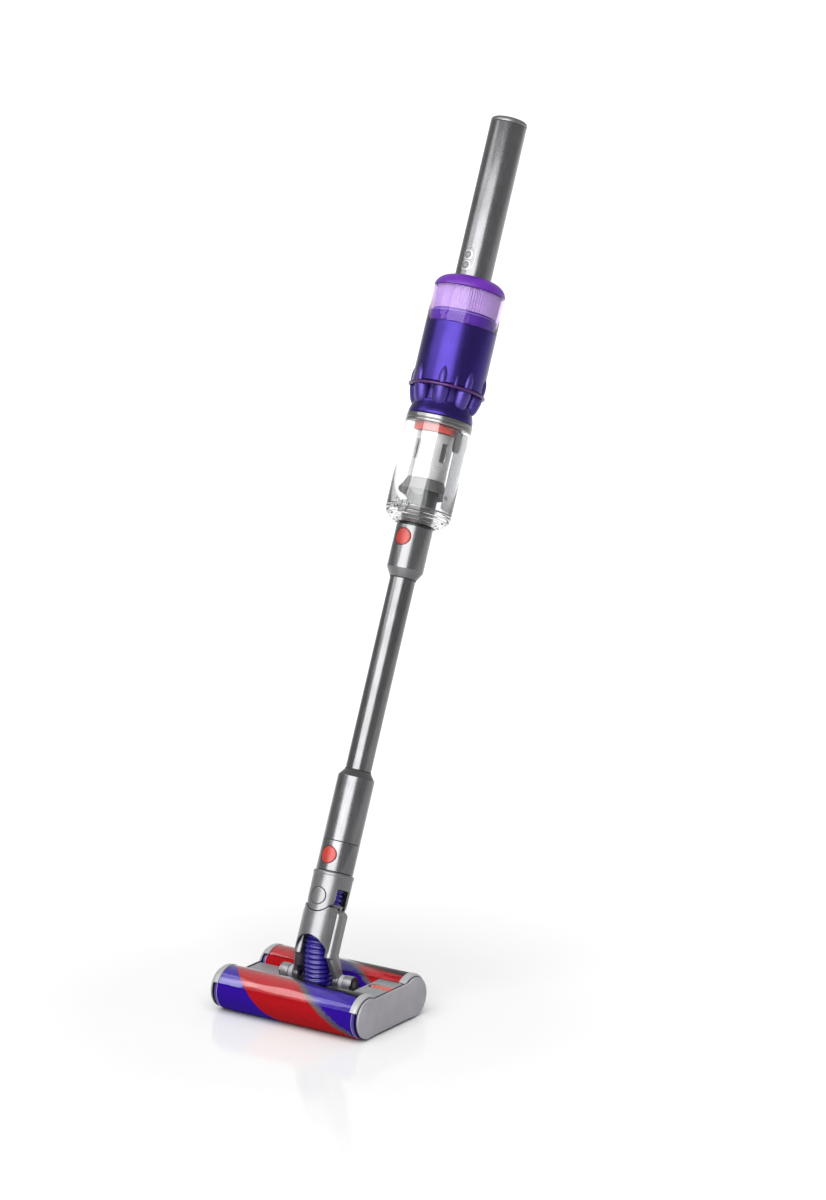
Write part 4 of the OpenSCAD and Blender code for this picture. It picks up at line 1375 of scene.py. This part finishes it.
@dataclass
class MotorBody:
    """The violet housing, the filter under its tinted cap, and what the housing holds."""

    wand: Bench
    pleats: int = 72
    drop: float = 9.5
    shoulder: float = 816.0
    cap_top: float = 831.5

    def build(self) -> None:
        """Makes the housing, the filter and the cap."""
        wand = self.wand
        low, high = wand.extent("motor_housing")
        r = high.x
        top = high.z - self.drop
        shell = [(24, low.z), (r - 0.5, low.z), (r, low.z + 0.6), (r, top - 0.5), (r - 0.3, top),
                 (r - 2.5, top), (r - 2.5, low.z + 2.5), (24, low.z + 2.5)]
        wand.piece("motor_shell", Shape.turned(rounded(shell, 0.4), 160), BODY_VIOLET, "hand_unit",
                   "body_violet", "motor_housing")
        dress(MOTOR, "fan_motor")
        dress(INNER, "impeller")
        self.filter()
        self.cap(high.z - self.drop, r)

    def filter(self) -> None:
        """The pleated filter and its two end rings."""
        low, high = self.wand.extent("filter_element")
        outline = []
        for k in range(2 * self.pleats):
            r = high.x - (0.2 if k % 2 else 1.8)
            t = math.pi * k / self.pleats
            outline.append((r * math.cos(t), r * math.sin(t)))
        inner = Shape.prism(circle(27.0, 96), low.z - 1, high.z + 1)
        folds = Shape.prism(outline, low.z + 1.5, high.z - 1.5).cut(inner)
        self.wand.piece("filter_pleats", folds, PAPER, "filter", "filter_white", "filter_element", crease=20)
        for label, z in (("lower", low.z), ("upper", high.z - 2)):
            ring = Shape.turned(rounded(wall(z, z + 2, high.x, 27.0), 0.5), 96)
            self.wand.piece(f"filter_{label}_ring", ring, LINER, "filter", "filter_white")

    def cap(self, start: float, r: float) -> None:
        """The tinted cap with its darker shoulder and band."""
        low = start + 0.2
        knee, rise, hole = self.shoulder, self.cap_top - self.shoulder, 22.2
        outer = [(hole + (r - hole) * math.cos(math.radians(a)), knee + rise * math.sin(math.radians(a)))
                 for a in range(0, 91, 6)]
        inner = [(max(hole, x - 1.8 * (x - hole) / (r - hole)), z - 1.0 - 0.9 * (z - knee) / rise)
                 for x, z in reversed(outer)]
        skirt = rounded(wall(low, knee - 0.1, r, r - 2.0), 0.2)
        self.wand.piece("filter_cap_shell", Shape.turned(skirt, 160), CAP_TINT, "filter", "cap_purple",
                        "filter_cap")
        self.wand.piece("filter_cap_crown", Shape.turned(outer + inner, 160), CROWN, "filter", "cap_purple")
        band = rounded(wall(low + 0.3, low + 12.8, r - 2.3, r - 3.6), 0.4)
        self.wand.piece("filter_cap_band", Shape.turned(band, 128), LINER, "filter", "cap_purple")
        lip = rounded(wall(low + 12.9, low + 13.7, r - 2.1, r - 2.9), 0.2)
        self.wand.piece("filter_cap_lip", Shape.turned(lip, 128), TRIM, "filter", "cap_purple")


@dataclass
class Handle:
    """The tubular handle with its panel, keys, cells and end cap."""

    wand: Bench
    panel_half: float = 14.0
    panel_radius: float = 9.0

    def build(self) -> None:
        """Makes the handle's pieces."""
        wand = self.wand
        low, high = wand.extent("handle_tube")
        r = high.x
        tube = Shape.turned(rounded(wall(low.z, high.z, r, r - 2.2), 0.5), 128)
        wand.piece("handle_sleeve", tube, WAND_METAL, "hand_unit", "neck_metal", "handle_tube")
        plate_low, plate_high = wand.extent("control_panel")
        middle = (plate_low.z + plate_high.z) / 2
        rim = capsule(self.panel_half + 0.35, self.panel_radius + 0.35)
        edge = Shape.pad(rim, r, 0.06, 0.5, 0.02, hole=0.93)
        wand.piece("panel_gap", edge.shifted(z=middle), STEEL, "hand_unit", "panel_grey")
        plate = Shape.pad(capsule(self.panel_half, self.panel_radius), r, 0.16, 0.8, 0.1)
        wand.piece("panel_plate", plate.shifted(z=middle), WAND_METAL, "hand_unit", "panel_grey",
                   "control_panel")
        for label in ("power", "mode"):
            key_low, key_high = wand.extent(f"{label}_button")
            station, size = (key_low.z + key_high.z) / 2, (key_high.z - key_low.z) / 2
            rim = Shape.pad(circle(size + 0.9), r, 0.2, 0.5, 0.05, hole=0.8)
            wand.piece(f"{label}_key_gap", rim.shifted(z=station), STEEL, "hand_unit", "panel_grey")
            key = Shape.pad(circle(size - 0.35), r, 0.35, 1.5, 0.35, crown=-0.25)
            wand.piece(f"{label}_key_cap", key.shifted(z=station), KEYS, f"{label}_key", "key_grey",
                       f"{label}_button")
        dress(CELLS, "battery_cells")
        self.end(r, high.z)

    def end(self, r: float, start: float) -> None:
        """The domed end cap around the charging socket."""
        top = self.wand.extent("handle_end_cap")[1].z
        outline = [(0, start - 5), (r - 2.3, start - 5), (r - 2.3, start + 0.5), (r - 0.2, start + 0.5),
                   (r, start + 0.9), (r, top - 4), (r - 0.6, top - 2.4), (r - 2.4, top - 1.1),
                   (r - 6, top - 0.5), (0, top)]
        dome = Shape.turned(outline, 128)
        socket = Shape.turned([(0, top - 9), (2.75, top - 9), (2.75, top + 1), (0, top + 1)], 48)
        self.wand.piece("handle_dome", dome.cut(socket), NECK, "hand_unit", "neck_metal", "handle_end_cap")
        seam = Shape.turned(rounded(wall(start - 0.1, start + 0.6, r - 0.15, r - 2.2), 0.1), 128)
        self.wand.piece("handle_seam", seam, GAP_AND_SHADOW, "hand_unit", "neck_metal")


# ---- studio ----


@dataclass(frozen=True)
class SoftBox:
    """A rectangular light that faces the object, and shows in gloss alone."""

    name: str
    azimuth: float
    elevation: float
    distance: float
    width: float
    height: float
    radiance: float

    def build(self, aim: Vector) -> None:
        """Hangs the light so that it faces a point."""
        data = bpy.data.lights.new(self.name, "AREA")
        data.shape, data.size, data.size_y = "RECTANGLE", self.width, self.height
        data.energy = math.pi * self.width * self.height * self.radiance
        away = direction(self.azimuth, self.elevation)
        made = hang(data, aim + away * self.distance, away)
        made.visible_diffuse = False


@dataclass(frozen=True)
class SoftSun:
    """A wide distant light that shades matt surfaces, and doesn't show in gloss."""

    name: str
    azimuth: float
    elevation: float
    spread: float
    strength: float

    def build(self, aim: Vector) -> None:
        """Hangs the light so that it shines from its direction."""
        data = bpy.data.lights.new(self.name, "SUN")
        data.energy, data.angle = self.strength, math.radians(self.spread)
        away = direction(self.azimuth, self.elevation)
        made = hang(data, aim + away * 4.0, away)
        made.visible_glossy = False


def hang(data: bpy.types.Light, spot: Vector, away: Vector) -> bpy.types.Object:
    """Links a light at a spot, turned to shine against a direction."""
    made = bpy.data.objects.new(data.name, data)
    bpy.context.scene.collection.objects.link(made)
    made.location = spot
    made.rotation_mode = "QUATERNION"
    made.rotation_quaternion = (-away).to_track_quat("-Z", "Y")
    return made


def direction(azimuth: float, elevation: float) -> Vector:
    """The unit vector towards a place around the object, from the front and from level."""
    a, e = math.radians(azimuth), math.radians(elevation)
    return Vector((math.sin(a) * math.cos(e), -math.cos(a) * math.cos(e), math.sin(e)))


@dataclass
class Studio:
    """The pale floor, the soft light and the camera."""

    azimuth: float = 33.92
    elevation: float = 12.91
    roll: float = 0.27
    distance: float = 4.358
    lens: float = 116.27
    aim: Vector = field(default_factory=lambda: Vector((0.0884, 0.0595, 0.4878)))
    sky: float = 0.6
    floor_size: float = 60.0
    lights: tuple[SoftBox | SoftSun, ...] = (
        SoftBox("key_box", 8.0, 24.0, 3.0, 3.3, 3.0, 6.5),
        SoftBox("cover_box", -50.0, 38.0, 3.0, 1.5, 1.3, 3.2),
        SoftSun("sun", 20.0, 58.0, 70.0, 3.4),
    )

    def build(self) -> None:
        """Sets the studio up."""
        scene = bpy.context.scene
        scene.view_settings.view_transform = "Standard"
        world = bpy.data.worlds.new("studio")
        scene.world = world
        world.use_nodes = True
        world.node_tree.nodes["Background"].inputs["Color"].default_value = (1, 1, 1, 1)
        world.node_tree.nodes["Background"].inputs["Strength"].default_value = self.sky
        self.floor()
        for light in self.lights:
            light.build(self.aim)
        self.camera()

    def floor(self) -> None:
        """A plain pale floor, slightly glossy."""
        half = self.floor_size / 2
        mesh = bpy.data.meshes.new("studio_floor")
        corners = [(-half, -half, 0), (half, -half, 0), (half, half, 0), (-half, half, 0)]
        mesh.from_pydata(corners, [], [(0, 1, 2, 3)])
        made = bpy.data.objects.new("studio_floor", mesh)
        bpy.context.scene.collection.objects.link(made)
        mesh.materials.append(FLOOR_WHITE.material())

    def camera(self) -> None:
        """The camera, level but for a slight roll."""
        data = bpy.data.cameras.new("view")
        data.lens, data.sensor_width = self.lens, 36.0
        data.clip_end = 100.0
        made = bpy.data.objects.new("view", data)
        bpy.context.scene.collection.objects.link(made)
        away = direction(self.azimuth, self.elevation)
        made.location = self.aim + away * self.distance
        made.rotation_mode = "QUATERNION"
        turn = Quaternion((0, 0, 1), math.radians(self.roll))
        made.rotation_quaternion = (-away).to_track_quat("-Z", "Y") @ turn
        bpy.context.scene.camera = made


RED = tone(156, 18, 24)
BLUE = tone(42, 12, 132)


def main() -> None:
    """Builds the vacuum, sub-assembly by sub-assembly, and then its studio."""
    logging.basicConfig(level=logging.INFO, format="%(name)s: %(message)s")
    wand = wand_bench()
    front = Roller(Side.FRONT, (86, 113), ((0.0, RED), (99 / 360, BLUE), (275 / 360, RED), (1.0, RED)))
    rear = Roller(Side.REAR, (109, 131), ((0.0, BLUE), (120 / 360, RED), (340 / 360, BLUE), (1.0, BLUE)))
    parts = [front, rear, FloorHead(), Castors(), Hose(wand), Neck(wand), Wand(wand), DustBin(wand),
             Cyclones(wand), MotorBody(wand), Handle(wand), Studio()]
    for part in parts:
        part.build()
        LOG.info("finished %s", type(part).__name__)


if __name__ == "__main__":
    main()
